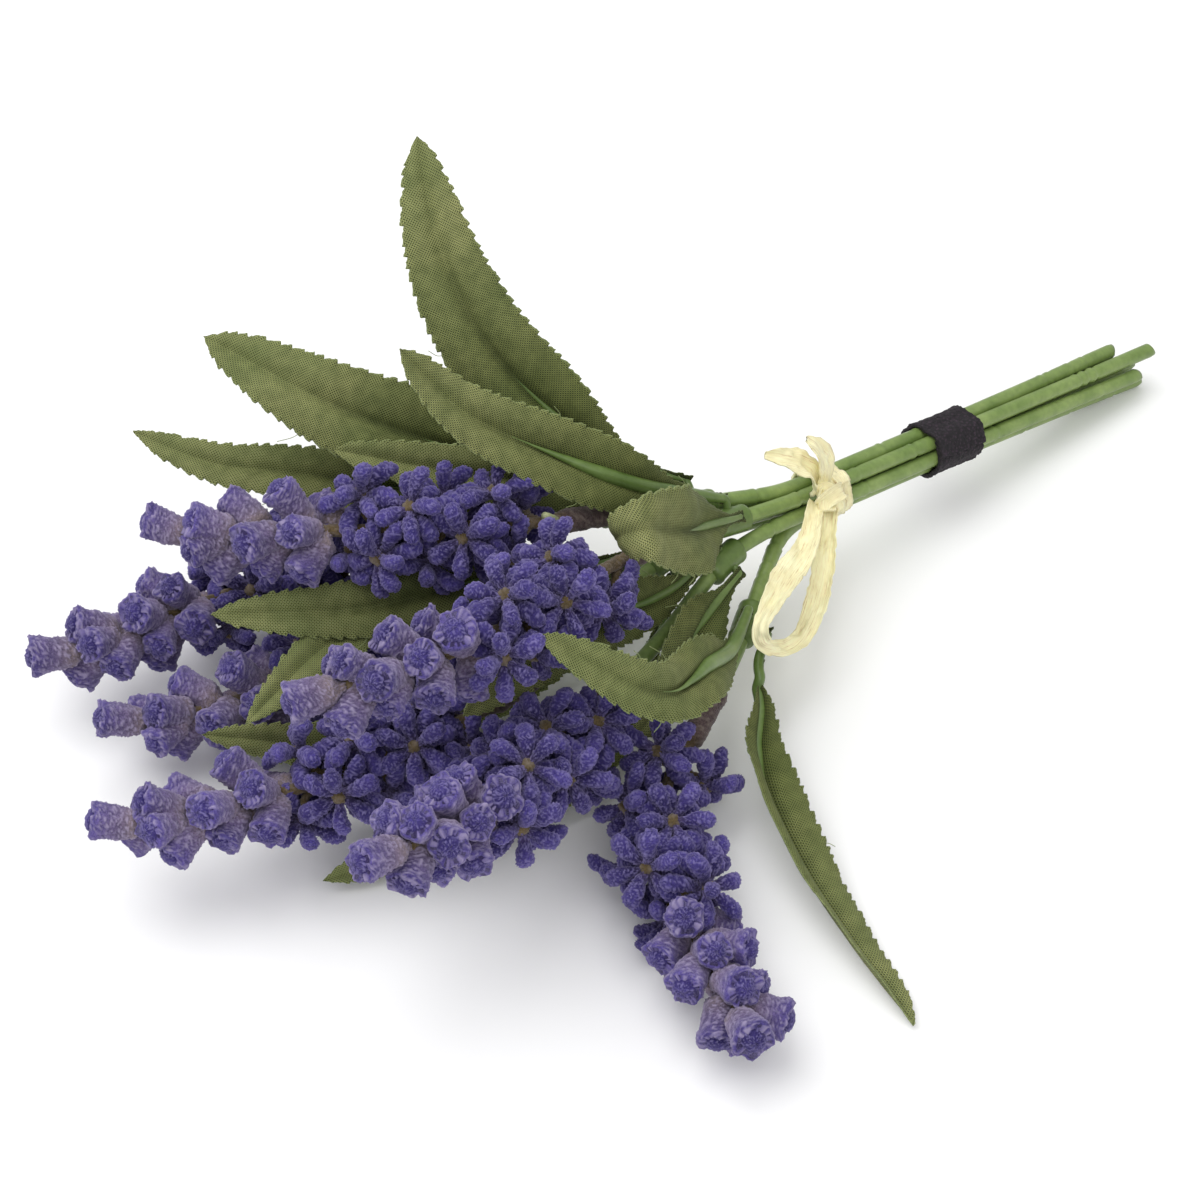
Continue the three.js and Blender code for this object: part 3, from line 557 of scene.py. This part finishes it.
def bud_profile(reach, radius):
    """A club: a thin neck, widest past the middle, with a round end."""
    share = np.concatenate([np.linspace(0.08, 0.82, 22), 0.82 + 0.18 * np.sin(np.linspace(0.12, 1.5, 9))])
    swell = np.where(
        share < 0.78,
        0.46 + 0.54 * np.sin(np.clip((share - 0.2) / 0.5, 0, 1) * math.pi / 2) ** 1.3,
        np.sqrt(np.clip(1 - ((share - 0.78) / 0.22) ** 2, 0.002, 1)),
    )
    return np.column_stack([share * reach, swell * radius])


def read_buds(solid):
    """Tip, direction and star centre of each bud: its tip stands alone over a square ring."""
    found = []
    for index, links in enumerate(solid.links):
        if len(links) != 4:
            continue
        ring = solid.points[sorted(links)]
        middle = ring.mean(0)
        radii = np.linalg.norm(ring - middle, axis=1)
        step = np.linalg.norm(solid.points[index] - middle)
        if np.abs(radii - BUD_RING_CAD).max() < 0.03 * MM and abs(step - 0.24 * BUD_REACH) < 0.05 * MM:
            direction = unit(solid.points[index] - middle)
            found.append((direction, solid.points[index] - direction * BUD_REACH))
    return found


def stars_of(buds):
    """Groups the buds by the star centre that they share."""
    stars = {}
    for direction, centre in buds:
        stars.setdefault(tuple(np.round(centre / (0.2 * MM)).astype(int)), []).append((direction, centre))
    groups = []
    for members in stars.values():
        centre = np.mean([c for _, c in members], axis=0)
        for group in groups:
            if np.linalg.norm(group[0] - centre) < 0.5 * MM:
                group[1].extend(d for d, _ in members)
                break
        else:
            groups.append((centre, [d for d, _ in members]))
    return groups


def add_peg(piece, line, centre, axis, marks):
    """The stalk of a star: it leaves the flower stalk lower down and ends in a blunt stub among the buds."""
    nearest = np.argmin(np.linalg.norm(line - centre, axis=1))
    start = line[max(0, nearest - 7)]
    bend = line[nearest] * 0.5 + centre * 0.5 - (line[min(nearest + 4, len(line) - 1)] - line[nearest]) * 0.2
    path = smooth_line(np.array([start, bend, centre - axis * 0.8 * MM, centre + axis * 1.9 * MM]), 0.3 * MM)
    to_end = np.arange(len(path))[::-1] * 0.3 * MM
    radius = PEG_RADIUS + (STUB_RADIUS - PEG_RADIUS) * np.clip(1 - to_end / (3.2 * MM), 0, 1) ** 0.6
    radius = radius * (1 + 0.14 * noise(path, 1.1 * MM, 3))
    radius[-2:] *= [0.97, 0.8]
    piece.grid(tube(path, radius, 16), marks, slot=1)


def add_bud(piece, centre, direction, axis, size, sides, seed):
    """One club, bowed a little and drooping away from the star's axis."""
    reach = BUD_REACH * size * rng.uniform(1.0, 1.14)
    radius = BUD_RADIUS * rng.uniform(0.86, 1.04)
    profile = bud_profile(reach, radius)
    rows = turned(profile, sides, centre, direction, rng.uniform(0, 6))
    share = profile[:, 0] / reach
    bent = rng.uniform(0.3, 1.1) * 4 * share * (1 - share) - rng.uniform(0.2, 1.0) * share ** 2
    rows += (bent * MM)[:, None, None] * axis
    middle = rows.mean(1, keepdims=True)
    rows += (rows - middle) * (0.16 * noise(rows, 1.7 * MM, seed))[..., None]
    marks = np.zeros(rows.shape)
    marks[..., 0] = share[:, None]
    marks[..., 1] = rng.uniform(0.02, 0.5)
    piece.grid(rows, marks)


def between(directions, axis):
    """The gaps round an axis: how wide each one is, and the way to its middle, square to the axis."""
    side = unit(np.cross(axis, [0.3, 0.5, 0.8]))
    other = np.cross(axis, side)
    angles = sorted(math.atan2(d @ other, d @ side) for d in directions)
    gaps = [(b - a) % (2 * math.pi) for a, b in zip(angles, angles[1:] + angles[:1])]
    middles = [a + gap / 2 for a, gap in zip(angles, gaps)]
    return [(gap, math.cos(m) * side + math.sin(m) * other) for gap, m in zip(gaps, middles)]


def make_bud_tier(number, tier):
    node_name = f"spike_{number}_{tier}_buds"
    piece = Piece()
    for centre, directions in stars_of(read_buds(Solid(node_name))):
        axis = unit(np.mean(directions, axis=0))
        add_peg(piece, spine_lines[number], centre, axis, (0.9, 0.2, 0))
        for direction in directions:
            droop = unit(direction + axis * rng.uniform(-0.3, 0.25) + rng.normal(0, 0.06, 3))
            add_bud(piece, centre, droop, axis, 1.0, 30, number)
        for _, out in between(directions, axis):
            droop = unit(unit(out - 0.45 * axis) + rng.normal(0, 0.08, 3))
            add_bud(piece, centre - axis * 0.6 * MM, droop, axis, 0.88, 22, number)
    tier_piece = piece.make(f"flocked_{tier}_buds_{number}", [bud_flock, stalk_flock], FUZZ)
    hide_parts(node_name)


# Along (mm from the foot of its stalk), radius (mm): the outside of a bell, then its inside and the ball.
BELL_OUTSIDE = [(0, 0.8), (0.9, 1.0), (1.7, 1.7), (2.3, 2.35), (3.1, 2.75), (4.4, 2.95), (5.8, 3.05),
                (7.2, 3.15), (8.4, 3.3), (9.4, 3.5), (10.1, 3.6), (10.5, 3.5), (10.7, 3.25), (10.7, 3.0)]
BELL_INSIDE = [(10.5, 2.85), (10.1, 2.75), (9.8, 2.65), (9.85, 2.5), (10.2, 2.4), (10.7, 2.2),
               (11.15, 1.85), (11.5, 1.4), (11.7, 0.9), (11.78, 0.4), (11.8, 0.15)]


def read_bells(solid):
    """Foot and direction of each bell: the middle of its mouth lies behind a ring of six."""
    found = []
    for index, links in enumerate(solid.links):
        if len(links) != 6:
            continue
        ring = solid.points[sorted(links)]
        middle = ring.mean(0)
        radii = np.linalg.norm(ring - middle, axis=1)
        if np.abs(radii - BELL_INNER_CAD).max() < 0.05 * MM:
            direction = unit(middle - solid.points[index])
            mouth = middle + direction * BELL_STEP_CAD
            found.append((mouth - direction * BELL_LENGTH, direction))
    return found


def spare_bells(bells):
    """Where more bells fit: at every other step up the stalk, in the widest gap round it."""
    found = []
    for step in range(1, len(bells) - 2, 2):
        near = [direction for _, direction in bells[step - 1: step + 3]]
        ahead = unit(bells[step + 1][0] - bells[step][0])
        out = max(between(near, ahead), key=lambda gap: gap[0])[1]
        lean = np.mean([direction @ ahead for direction in near])
        root = (bells[step][0] + bells[step + 1][0]) / 2
        found.append((root, unit(out * math.sqrt(1 - lean ** 2) + ahead * lean)))
    return found


def bell_profile():
    """Along and radius from the foot up the outside and over the ball, how frilled it is, and how far in."""
    outside = smooth_line(np.array([(a, r, 0) for a, r in BELL_OUTSIDE], float), 0.34)[:, :2] * MM
    inside = smooth_line(np.array([(a, r, 0) for a, r in BELL_INSIDE], float), 0.3)[:, :2] * MM
    flare = np.clip((outside[:, 0] / MM - 5) / 5.5, 0, 1)
    frill = np.concatenate([flare, np.linspace(1, 0, len(inside)) ** 7])
    ball = np.concatenate([np.zeros(len(outside)), np.linspace(0, 1, len(inside))])
    return np.vstack([outside, inside]), frill, ball, len(outside)


def add_bell(piece, root, direction, size, seed):
    profile, frill, ball, count = bell_profile()
    petals = int(rng.integers(5, 7))
    phase = rng.uniform(0, 6, 3)

    def lobes(angle, n):
        wave = 0.06 * np.cos(petals * angle + phase[0]) + 0.05 * np.cos(2 * angle + phase[1])
        wave = wave + 0.02 * np.cos((petals + 3) * angle + phase[2])
        return 1 + frill[n] * wave, frill[n] * 3 * MM * wave

    stretch = size * np.array([rng.uniform(0.94, 1.03), rng.uniform(0.95, 1.06)])
    rows = turned(profile * stretch, 42, root, direction, 0, lobes)
    middle = rows.mean(1, keepdims=True)
    calm = (1 - 0.8 * ball)[:, None]
    rows += (rows - middle) * (0.1 * calm * noise(rows, 1.6 * MM, seed))[..., None]
    rows += (0.14 * MM * calm * noise(rows, 1.2 * MM, seed))[..., None] * direction
    marks = np.zeros(rows.shape)
    marks[..., 0] = np.clip((profile[:, 0] / MM - 2) / 9, 0, 1)[:, None]
    marks[..., 1] = rng.uniform(0.1, 0.45)
    piece.grid(rows[:count], marks[:count])
    inner_marks = marks[count - 1:].copy()
    inner_marks[..., 0] = 0.3 + 0.7 * ball[count - 1:, None] ** 2
    piece.grid(rows[count - 1:], inner_marks, slot=1)


def make_bells(number):
    node_name = f"spike_{number}_bells"
    foot = stem_lines[number][-1]
    own = sorted(read_bells(Solid(node_name)), key=lambda bell: np.linalg.norm(bell[0] - foot))
    piece = Piece()
    for root, direction in own:
        add_bell(piece, root, direction, 1.0, number)
    for root, direction in spare_bells(own):
        add_bell(piece, root, direction, 0.9, number)
    bells = piece.make(f"flocked_bells_{number}", [bell_flock, bud_flock], FUZZ)
    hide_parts(node_name)


# --- Leaves ---
class Leaf:
    """The left edge, crease, right edge and upper side of a leaf, read from its CAD rings."""

    def __init__(self, number):
        solid = Solid(f"leaf_{number}")
        rings = next(
            rings for tip in range(len(solid.links)) if len(solid.links[tip]) == 4
            for rings in [solid.levels([tip])] if all(len(r) == 4 for r in rings[1:])
        )
        edges, creases, before = [], [], None
        for ring in reversed(rings[1:]):
            points = solid.points[ring]
            gaps = np.linalg.norm(points[:, None] - points[None], axis=2)
            left, right = divmod(int(np.argmax(gaps)), 4)
            if before is not None:
                left, right = sorted((left, right), key=lambda k: np.linalg.norm(points[k] - before))
            before = points[left]
            edges.append((points[left], points[right]))
            creases.append(points[[k for k in range(4) if k not in (left, right)]].mean(0))
        tip = solid.points[rings[0][0]]
        spacing = LEAF_STEP
        self.crease = smooth_line(np.array(creases + [tip]), spacing)
        share = np.linspace(0, 1, len(self.crease))

        def along(points):
            line = smooth_line(np.array(points + [tip]), spacing)
            own = np.linspace(0, 1, len(line))
            return np.column_stack([np.interp(share, own, line[:, k]) for k in range(3)])

        self.left = along([e[0] for e in edges])
        self.right = along([e[1] for e in edges])
        middle = (self.left + self.right) / 2 - self.crease
        tangent = np.gradient(self.crease, axis=0)
        across = self.right - self.left
        face = np.cross(tangent, across)
        face[-3:] = face[-4]
        face /= np.linalg.norm(face, axis=1)[:, None]
        weight = np.sign((face * middle).sum(1)[: len(face) * 3 // 4].sum())
        self.face = face * weight
        self.share = share
        self.length = spacing * (len(self.crease) - 1)


ACROSS = 41  # points across a leaf


def blunt(half, share):
    """A leaf's half width, with the tip rounded off instead of running out in a straight point."""
    start = int(np.searchsorted(share, BLUNT_FROM))
    rest = np.clip((share - BLUNT_FROM) / (1 - BLUNT_FROM), 0, 1)
    return np.where(share < BLUNT_FROM, half, half[start] * (1 - rest ** 1.7))


def leaf_halves(leaf):
    """For the left and the right half of a leaf: its width at each step, and the way out from the crease."""
    start = int(BLUNT_FROM * len(leaf.crease))
    halves, outs = [], []
    for edge in (leaf.left, leaf.right):
        half = np.linalg.norm(edge - leaf.crease, axis=1)
        out = (edge - leaf.crease) / np.maximum(half, 1e-6)[:, None]
        out[start:] = out[start]
        halves.append(blunt(half, leaf.share))
        outs.append(out)
    return halves, outs


def saw_edge(distance, half, hand, seed):
    """How far the cut edge stands out: saw teeth of uneven length, and the frayed ends of the weave."""
    place = np.column_stack([distance, distance * 0 + hand, distance * 0])
    step = (distance / TOOTH_PITCH + 0.37 * hand + 0.5 * noise(place, 5 * MM, seed)) % 1
    depth = TOOTH_DEPTH * np.clip(half / (4 * MM), 0, 1)
    return depth * (0.5 - step ** 1.5) + 0.14 * MM * noise(place, 0.35 * MM, seed)


def leaf_surface(leaf, halves, outs, seed):
    """The middle layer of a leaf: its points, their places on the flat cloth, and the shade in its crease."""
    count = len(leaf.crease)
    distance = leaf.share * leaf.length
    ripple = rng.uniform(0, 6, 4)
    rows = np.empty((count, ACROSS, 3))
    places = np.empty((count, ACROSS, 2))
    painted_crease_shade = np.empty((count, ACROSS))
    closing = np.clip((0.75 - leaf.share) / 0.6, 0, 1) ** 0.7
    for column, across in enumerate(np.linspace(-1, 1, ACROSS)):
        hand = 0 if across < 0 else 1
        half, out, size = halves[hand], outs[hand], abs(across)
        nibble = saw_edge(distance, half, hand, seed) * np.clip((size - 0.85) / 0.15, 0, 1)
        reach = np.maximum(size * half + nibble, 0)
        bow = 0.1 * half * np.sin(size * math.pi) - 0.12 * half * size ** 3
        wave = 0.4 * MM * size ** 2 * np.sin(distance / (7 * MM) + ripple[hand])
        wave = wave + 0.15 * MM * size * np.sin(distance / (2.6 * MM) + ripple[2 + hand])
        groove = -(0.25 + 0.95 * closing) * MM * np.exp(-(size * half / (1.1 * MM)) ** 2)
        groove = groove * np.clip(half / (3 * MM), 0, 1)
        rows[:, column] = leaf.crease + out * reach[:, None] + leaf.face * (bow + wave + groove)[:, None]
        painted_crease_shade[:, column] = closing * np.exp(-(size * half / (0.9 * MM)) ** 2)
        places[:, column, 0] = distance / MM
        places[:, column, 1] = across * half / MM
    return rows, places, painted_crease_shade


def there_and_back(layer):
    """A layer's columns out over the upper side and back under the lower one."""
    return np.concatenate([layer, layer[:, ::-1]], axis=1)


def make_leaf(number):
    leaf = leaves[number]
    halves, outs = leaf_halves(leaf)
    rows, places, painted_crease_shade = leaf_surface(leaf, halves, outs, number)
    lift = leaf.face[:, None] * LEAF_THICKNESS / 2
    shell = np.concatenate([rows + lift, rows[:, ::-1] - lift], axis=1)
    marks = np.zeros(shell.shape)
    size = np.abs(there_and_back(np.linspace(-1, 1, ACROSS)[None]))
    marks[..., 0] = leaf.share[:, None]
    marks[..., 1] = there_and_back(painted_crease_shade)
    marks[..., 2] = np.clip((size - 0.95) / 0.05, 0, 1) * 0.45
    piece = Piece()
    piece.grid(shell, marks, uv=there_and_back(places))
    add_threads(piece, rows, leaf)
    blade = piece.make(f"woven_leaf_{number}", [leaf_weave])
    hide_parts(f"leaf_{number}")


def add_threads(piece, rows, leaf):
    """A few loose threads that have come away from the cut edge."""
    for _ in range(int(rng.integers(2, 5))):
        place = int(rng.uniform(0.25, 0.8) * len(rows))
        column = 0 if rng.random() < 0.5 else ACROSS - 1
        start = rows[place, column]
        out = unit(start - leaf.crease[place])
        ahead = unit(leaf.crease[min(place + 4, len(rows) - 1)] - leaf.crease[place - 4])
        length = rng.uniform(1.5, 4.5) * MM
        curl = rng.normal(0, 0.5, 3)
        path = np.array([start - out * 0.4 * MM, start + (out * 0.5 + ahead * 0.4) * length * 0.4,
                         start + (out * 0.7 + ahead * 0.9 + curl * 0.3) * length])
        line = smooth_line(path, 0.3 * MM)
        uv = np.zeros((len(line), 5, 2))
        piece.grid(tube(line, 0.07 * MM, 5), (0, 0, 0.6), uv=uv)


def collar_centre(number):
    low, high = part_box(f"leaf_collar_{number}")
    return np.array((low + high) / 2)


def make_ribs(number):
    """A collar moulded in one with the ribs of the leaves that it carries."""
    centre = collar_centre(number)
    line = stem_lines[number]
    middle = int(np.argmin(np.linalg.norm(line - centre, axis=1)))
    part = line[max(0, middle - 8): middle + 9]
    along = np.linspace(-1, 1, len(part))
    radius = COLLAR_RADIUS * (1 - 0.14 * np.abs(along) ** 3) + 0.16 * MM * (np.abs(np.abs(along) - 0.8) < 0.1)
    piece = Piece()
    radius[[0, -1]] *= 0.72
    piece.grid(tube(part, radius, 28))
    for leaf_number in LEAVES:
        leaf = leaves[leaf_number]
        if np.linalg.norm(leaf.crease[0] - centre) > 6.5 * MM or owner_of[leaf_number] != number:
            continue
        above = leaf_number in RIBS_ABOVE
        count = int(len(leaf.crease) * (RIB_SHARE_ABOVE if above else RIB_SHARE))
        side = leaf.face[:count] * (0.5 if above else -0.9) * MM
        start = centre + unit(leaf.crease[0] - centre) * 1.2 * MM
        path = smooth_line(np.vstack([start, (leaf.crease[:count] + side)[3::6]]), 0.5 * MM)
        share = np.linspace(0, 1, len(path))
        belly = 0.7 if above else 0.35
        thickness = (0.75 + belly * np.sin(share * math.pi)) * np.clip((1 - share) / 0.35, 0.08, 1) * MM
        piece.grid(tube(path, thickness, 14))
    ribs = piece.make(f"collar_with_ribs_{number}", [collar_plastic])
    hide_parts(f"leaf_collar_{number}")


def leaf_owners():
    """Which stem each leaf grows from: the one whose collar its foot is nearest to."""
    owners = {}
    for leaf_number in LEAVES:
        foot = leaves[leaf_number].crease[0]
        far = {n: np.linalg.norm(collar_centre(n) - foot) for n in SPIKES}
        owners[leaf_number] = min(far, key=far.get)
    return owners


# --- Band ---
def bundle_radius(angle, middle_slots, lift):
    """How far the skin of the bundle stands from its axis: a string pulled round seven rods."""
    gap = (angle[:, None] - middle_slots[None] + math.pi) % (2 * math.pi) - math.pi
    nearest = np.abs(gap).min(1)
    return SLOT_RADIUS * np.cos(nearest) + STEM_RADIUS + lift


def bundle_frame(place):
    """The bundle's axis and cross directions where it passes a place, from the stems themselves."""
    lines = list(stem_lines.values())
    nearest = [int(np.argmin(np.linalg.norm(line - place, axis=1))) for line in lines]
    near = [line[index] for line, index in zip(lines, nearest)]
    ahead = [line[max(0, index - 12)] for line, index in zip(lines, nearest)]
    centre = np.mean(near, axis=0)
    axis = unit(np.mean(ahead, axis=0) - centre)
    side = unit(np.cross(np.array([0, 0, 1.0]), axis))
    up = np.cross(axis, side)
    offsets = [p - centre for p in near]
    slots = np.array([math.atan2(o @ up, o @ side) for o in offsets if np.linalg.norm(o) > STEM_RADIUS])
    return centre, axis, side, up, slots


def wrap(piece, place, width, start, sweep, lift, thickness, slot=0, rows_across=14, rough=0.0):
    """A strip wound round the bundle, from one angle on through a sweep, rising over itself."""
    centre, axis, side, up, slots = bundle_frame(place)
    count = int(abs(sweep) / math.radians(3))
    angle = start + np.linspace(0, sweep, count)
    turn = np.abs(angle - start) / (2 * math.pi)
    over = np.clip((turn - 0.94) / 0.06, 0, 1)
    inner = bundle_radius(angle, slots, lift) + over * (thickness + 0.15 * MM)
    across = np.linspace(-0.5, 0.5, rows_across) * width
    around = np.cos(angle)[:, None] * side + np.sin(angle)[:, None] * up
    bulge = 0.16 * MM * (np.abs(across) / width * 2) ** 6
    wobble = 0.25 * MM * noise(np.column_stack([angle, angle * 0, angle * 0 + start]), 1.1, 9)
    low = centre + around[:, None] * (inner[:, None] + bulge)[..., None]
    low = low + (across[None] + wobble[:, None])[..., None] * axis
    high = low + around[:, None] * thickness
    if rough:
        high = high + around[:, None] * (rough * noise(high, 0.5 * MM, 21))[..., None]
    shell = np.concatenate([high, low[:, ::-1]], axis=1)
    distance = turn * 2 * math.pi * 6
    u = np.broadcast_to(distance[:, None], (count, rows_across))
    w = np.broadcast_to(across / MM, (count, rows_across))
    uv = np.stack([u, w], -1)
    piece.grid(shell, slot=slot, uv=np.concatenate([uv, uv[:, ::-1]], axis=1))


def make_band():
    low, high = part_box("hook_and_loop_band")
    piece = Piece()
    wrap(piece, np.array((low + high) / 2), TAPE_WIDTH, 2.2, TAPE_WRAP, 0.12 * MM, BAND_THICKNESS,
         rows_across=44, rough=0.16 * MM)
    band = piece.make("hook_and_loop_tape", [hook_tape], 0.18 * MM)
    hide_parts("hook_and_loop_band")


# --- Raffia: the routes repeat the CAD part's points, in its own design frame ---
REST_ROLL = 0.01
REST_PITCH = 0.0055
TIE_CENTRE = np.array([40, -19, 21.0]) * MM
BUNDLE_AXIS = unit(np.array([1, 0.04, -0.165]))
BAND_DISTANCE = 34 * MM
RAFFIA_ENDS = [
    ([[36, -23, 27], [34, -22, 33], [30, -20, 36], [26, -18, 38]], [3, 4, 5.5, 6, 4, 1.5]),
    ([[37, -23, 27], [38, -23, 32], [37, -22, 36], [35, -20, 39]], [3, 4, 5.5, 6.5, 5, 2]),
]
RAFFIA_LOOP = (
    [[34, -25, 26], [25, -33, 26], [16, -38, 27], [9, -42, 27], [4, -45, 26], [4, -46, 23],
     [8, -46, 19], [14, -45, 17], [21, -41, 18], [27, -36, 20], [32, -31, 22], [36, -27, 25]],
    [3, 4, 5, 6, 4.5, 3, 3.5, 4, 4.5, 4.5, 4, 3],
)

tilt = np.array(Matrix.Rotation(REST_ROLL, 3, "X") @ Matrix.Rotation(REST_PITCH, 3, "Y"))
band_low, band_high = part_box("hook_and_loop_band")
design_origin = np.array((band_low + band_high) / 2) - tilt @ (TIE_CENTRE + BUNDLE_AXIS * BAND_DISTANCE)


def from_design(points):
    return np.asarray(points, float) @ tilt.T + design_origin


def ribbon(piece, points, widths, face, thickness=0.35 * MM, seed=0):
    """A crinkled flat strand through the points, with its own width at each."""
    line = smooth_line(from_design(np.array(points) * MM), RAFFIA_STEP)
    share = np.linspace(0, 1, len(line))
    half = np.interp(share, np.linspace(0, 1, len(widths)), widths) * MM / 2
    tangent = np.gradient(line, axis=0)
    tangent /= np.linalg.norm(tangent, axis=1)[:, None]
    across = np.cross(tangent, tilt @ np.array(face))
    across /= np.linalg.norm(across, axis=1)[:, None]
    up = np.cross(across, tangent)
    v = np.linspace(-1, 1, 17)
    distance = share * len(line) * RAFFIA_STEP
    rows = np.empty((len(line), len(v), 3))
    for column, place in enumerate(v):
        spot = np.column_stack([distance * 0.25, place * half, np.full(len(line), seed * 9 * MM)])
        crinkle = 0.75 * MM * noise(spot, 1.5 * MM, 31) + 0.3 * MM * noise(spot * [2, 1, 1], 0.6 * MM, 32)
        curl = 0.5 * half * (place ** 2) * (0.6 + 0.8 * noise(spot * [1, 0, 1], 6 * MM, 33))
        ragged = 0.25 * MM * noise(spot * [4, 0, 1], 1.2 * MM, 34) * abs(place)
        rows[:, column] = line + across * (place * (half + ragged))[:, None] + up * (crinkle + curl)[:, None]
    lift = up[:, None] * thickness / 2
    shell = np.concatenate([rows + lift, rows[:, ::-1] - lift], axis=1)
    places = np.stack(np.broadcast_arrays((distance / MM)[:, None], v[None] * half[:, None] / MM), -1)
    piece.grid(shell, uv=np.concatenate([places, places[:, ::-1]], axis=1))


def make_raffia():
    piece = Piece()
    tie = from_design(TIE_CENTRE)
    axis = tilt @ BUNDLE_AXIS
    for n, (shift, start) in enumerate([(-1.7, 0.6), (0.2, 1.4), (1.9, 2.1)]):
        wrap(piece, tie + axis * shift * MM, (2.6 + 0.5 * n) * MM, start, math.radians(372),
             (0.15 + 0.2 * (n % 2)) * MM, 0.55 * MM, rows_across=9, rough=0.3 * MM)
    for n, (points, widths) in enumerate(RAFFIA_ENDS):
        ribbon(piece, points, widths, [0.3, -0.6, 0.7], seed=n)
    ribbon(piece, *RAFFIA_LOOP, [-0.4, -0.3, 0.8], seed=5)
    add_knot(piece)
    tie_piece = piece.make("raffia_strand_tied", [raffia_strand])
    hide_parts("raffia_tie")


def add_knot(piece):
    """Three short crossing bights of the strand, pulled tight. Points and widths in millimetres."""
    knot = TIE_CENTRE / MM + [-3, -6, 5.2]
    across = np.array([[-3.4, -1, 0.2], [-1.2, -1.6, 1.7], [1.4, -1.2, 1.6], [3.4, 0.4, -0.4]])
    along = np.array([[-1.6, 2.2, -0.4], [-0.6, 0.2, 2.2], [0.4, -1.8, 1.2], [0.9, -3, -1.2]])
    slanting = np.array([[-2.6, -2.4, -0.8], [-1.4, -0.6, 0.6], [0.6, 0.8, 0.8], [2.2, 2.2, 0.2]])
    ribbon(piece, knot + across, [2.6, 3.6, 3.6, 2.6], [0, -0.7, 0.7], 0.9 * MM, 7)
    ribbon(piece, knot + along, [2.4, 3.2, 3.4, 2.6], [0.2, -0.7, 0.7], 0.9 * MM, 8)
    ribbon(piece, knot + slanting, [2.6, 3.4, 3.4, 2.4], [0, -0.6, 0.8], 1.1 * MM, 9)


# --- Camera, floor and lights ---
VIEW_AZIMUTH = math.radians(-36.87)
VIEW_ELEVATION = math.radians(45)
CAMERA_DISTANCE = 0.7
LENS = 105


def make_camera():
    back = Vector((math.sin(VIEW_AZIMUTH) * math.cos(VIEW_ELEVATION),
                   -math.cos(VIEW_AZIMUTH) * math.cos(VIEW_ELEVATION), math.sin(VIEW_ELEVATION)))
    turn = Matrix(tilt.tolist()).to_4x4()
    camera = bpy.data.objects.new("camera", bpy.data.cameras.new("camera"))
    camera.data.lens = LENS
    camera.data.sensor_width = 36
    camera.data.clip_end = 10
    rotation = (-back).to_track_quat("-Z", "Y").to_matrix().to_4x4()
    place = Vector(design_origin) + (turn @ back) * CAMERA_DISTANCE
    camera.matrix_world = Matrix.Translation(place) @ turn @ rotation
    bpy.context.scene.collection.objects.link(camera)
    bpy.context.scene.camera = camera


def make_stage():
    bpy.ops.mesh.primitive_plane_add(size=6, location=(0, 0, 0))
    floor = bpy.context.object
    floor.name = "floor"
    material, _, shader = new_material("floor")
    shader.inputs["Base Color"].default_value = (0.94, 0.94, 0.94, 1)
    shader.inputs["Roughness"].default_value = 0.9
    shader.inputs["Specular IOR Level"].default_value = 0.1
    floor.data.materials.append(material)
    world = bpy.data.worlds.new("studio")
    world.use_nodes = True
    world.node_tree.nodes["Background"].inputs["Color"].default_value = (1, 1, 1, 1)
    world.node_tree.nodes["Background"].inputs["Strength"].default_value = 0.6
    bpy.context.scene.world = world
    bpy.context.scene.view_settings.view_transform = "Standard"


def add_light(name, place, size, energy):
    light = bpy.data.lights.new(name, "AREA")
    light.energy = energy
    light.size = size
    obj = bpy.data.objects.new(name, light)
    obj.location = place
    obj.rotation_mode = "QUATERNION"
    obj.rotation_quaternion = (-Vector(place)).to_track_quat("-Z", "Y")
    bpy.context.scene.collection.objects.link(obj)


# --- The scene ---
make_camera()
stem_lines = {n: stem_line(n) for n in SPIKES}
spine_lines = {n: spine_line(n) for n in SPIKES}
leaves = {n: Leaf(n) for n in LEAVES}
owner_of = leaf_owners()
for n in SPIKES:
    make_stem(n)
    make_spine(n)
    make_bud_tier(n, "lower")
    make_bud_tier(n, "upper")
    make_bells(n)
    make_ribs(n)
for n in LEAVES:
    make_leaf(n)
make_band()
make_raffia()
make_stage()
add_light("key", (-0.25, 0.3, 1.0), 1.1, 8.5)
add_light("fill", (-0.35, -0.7, 0.8), 0.8, 3.5)
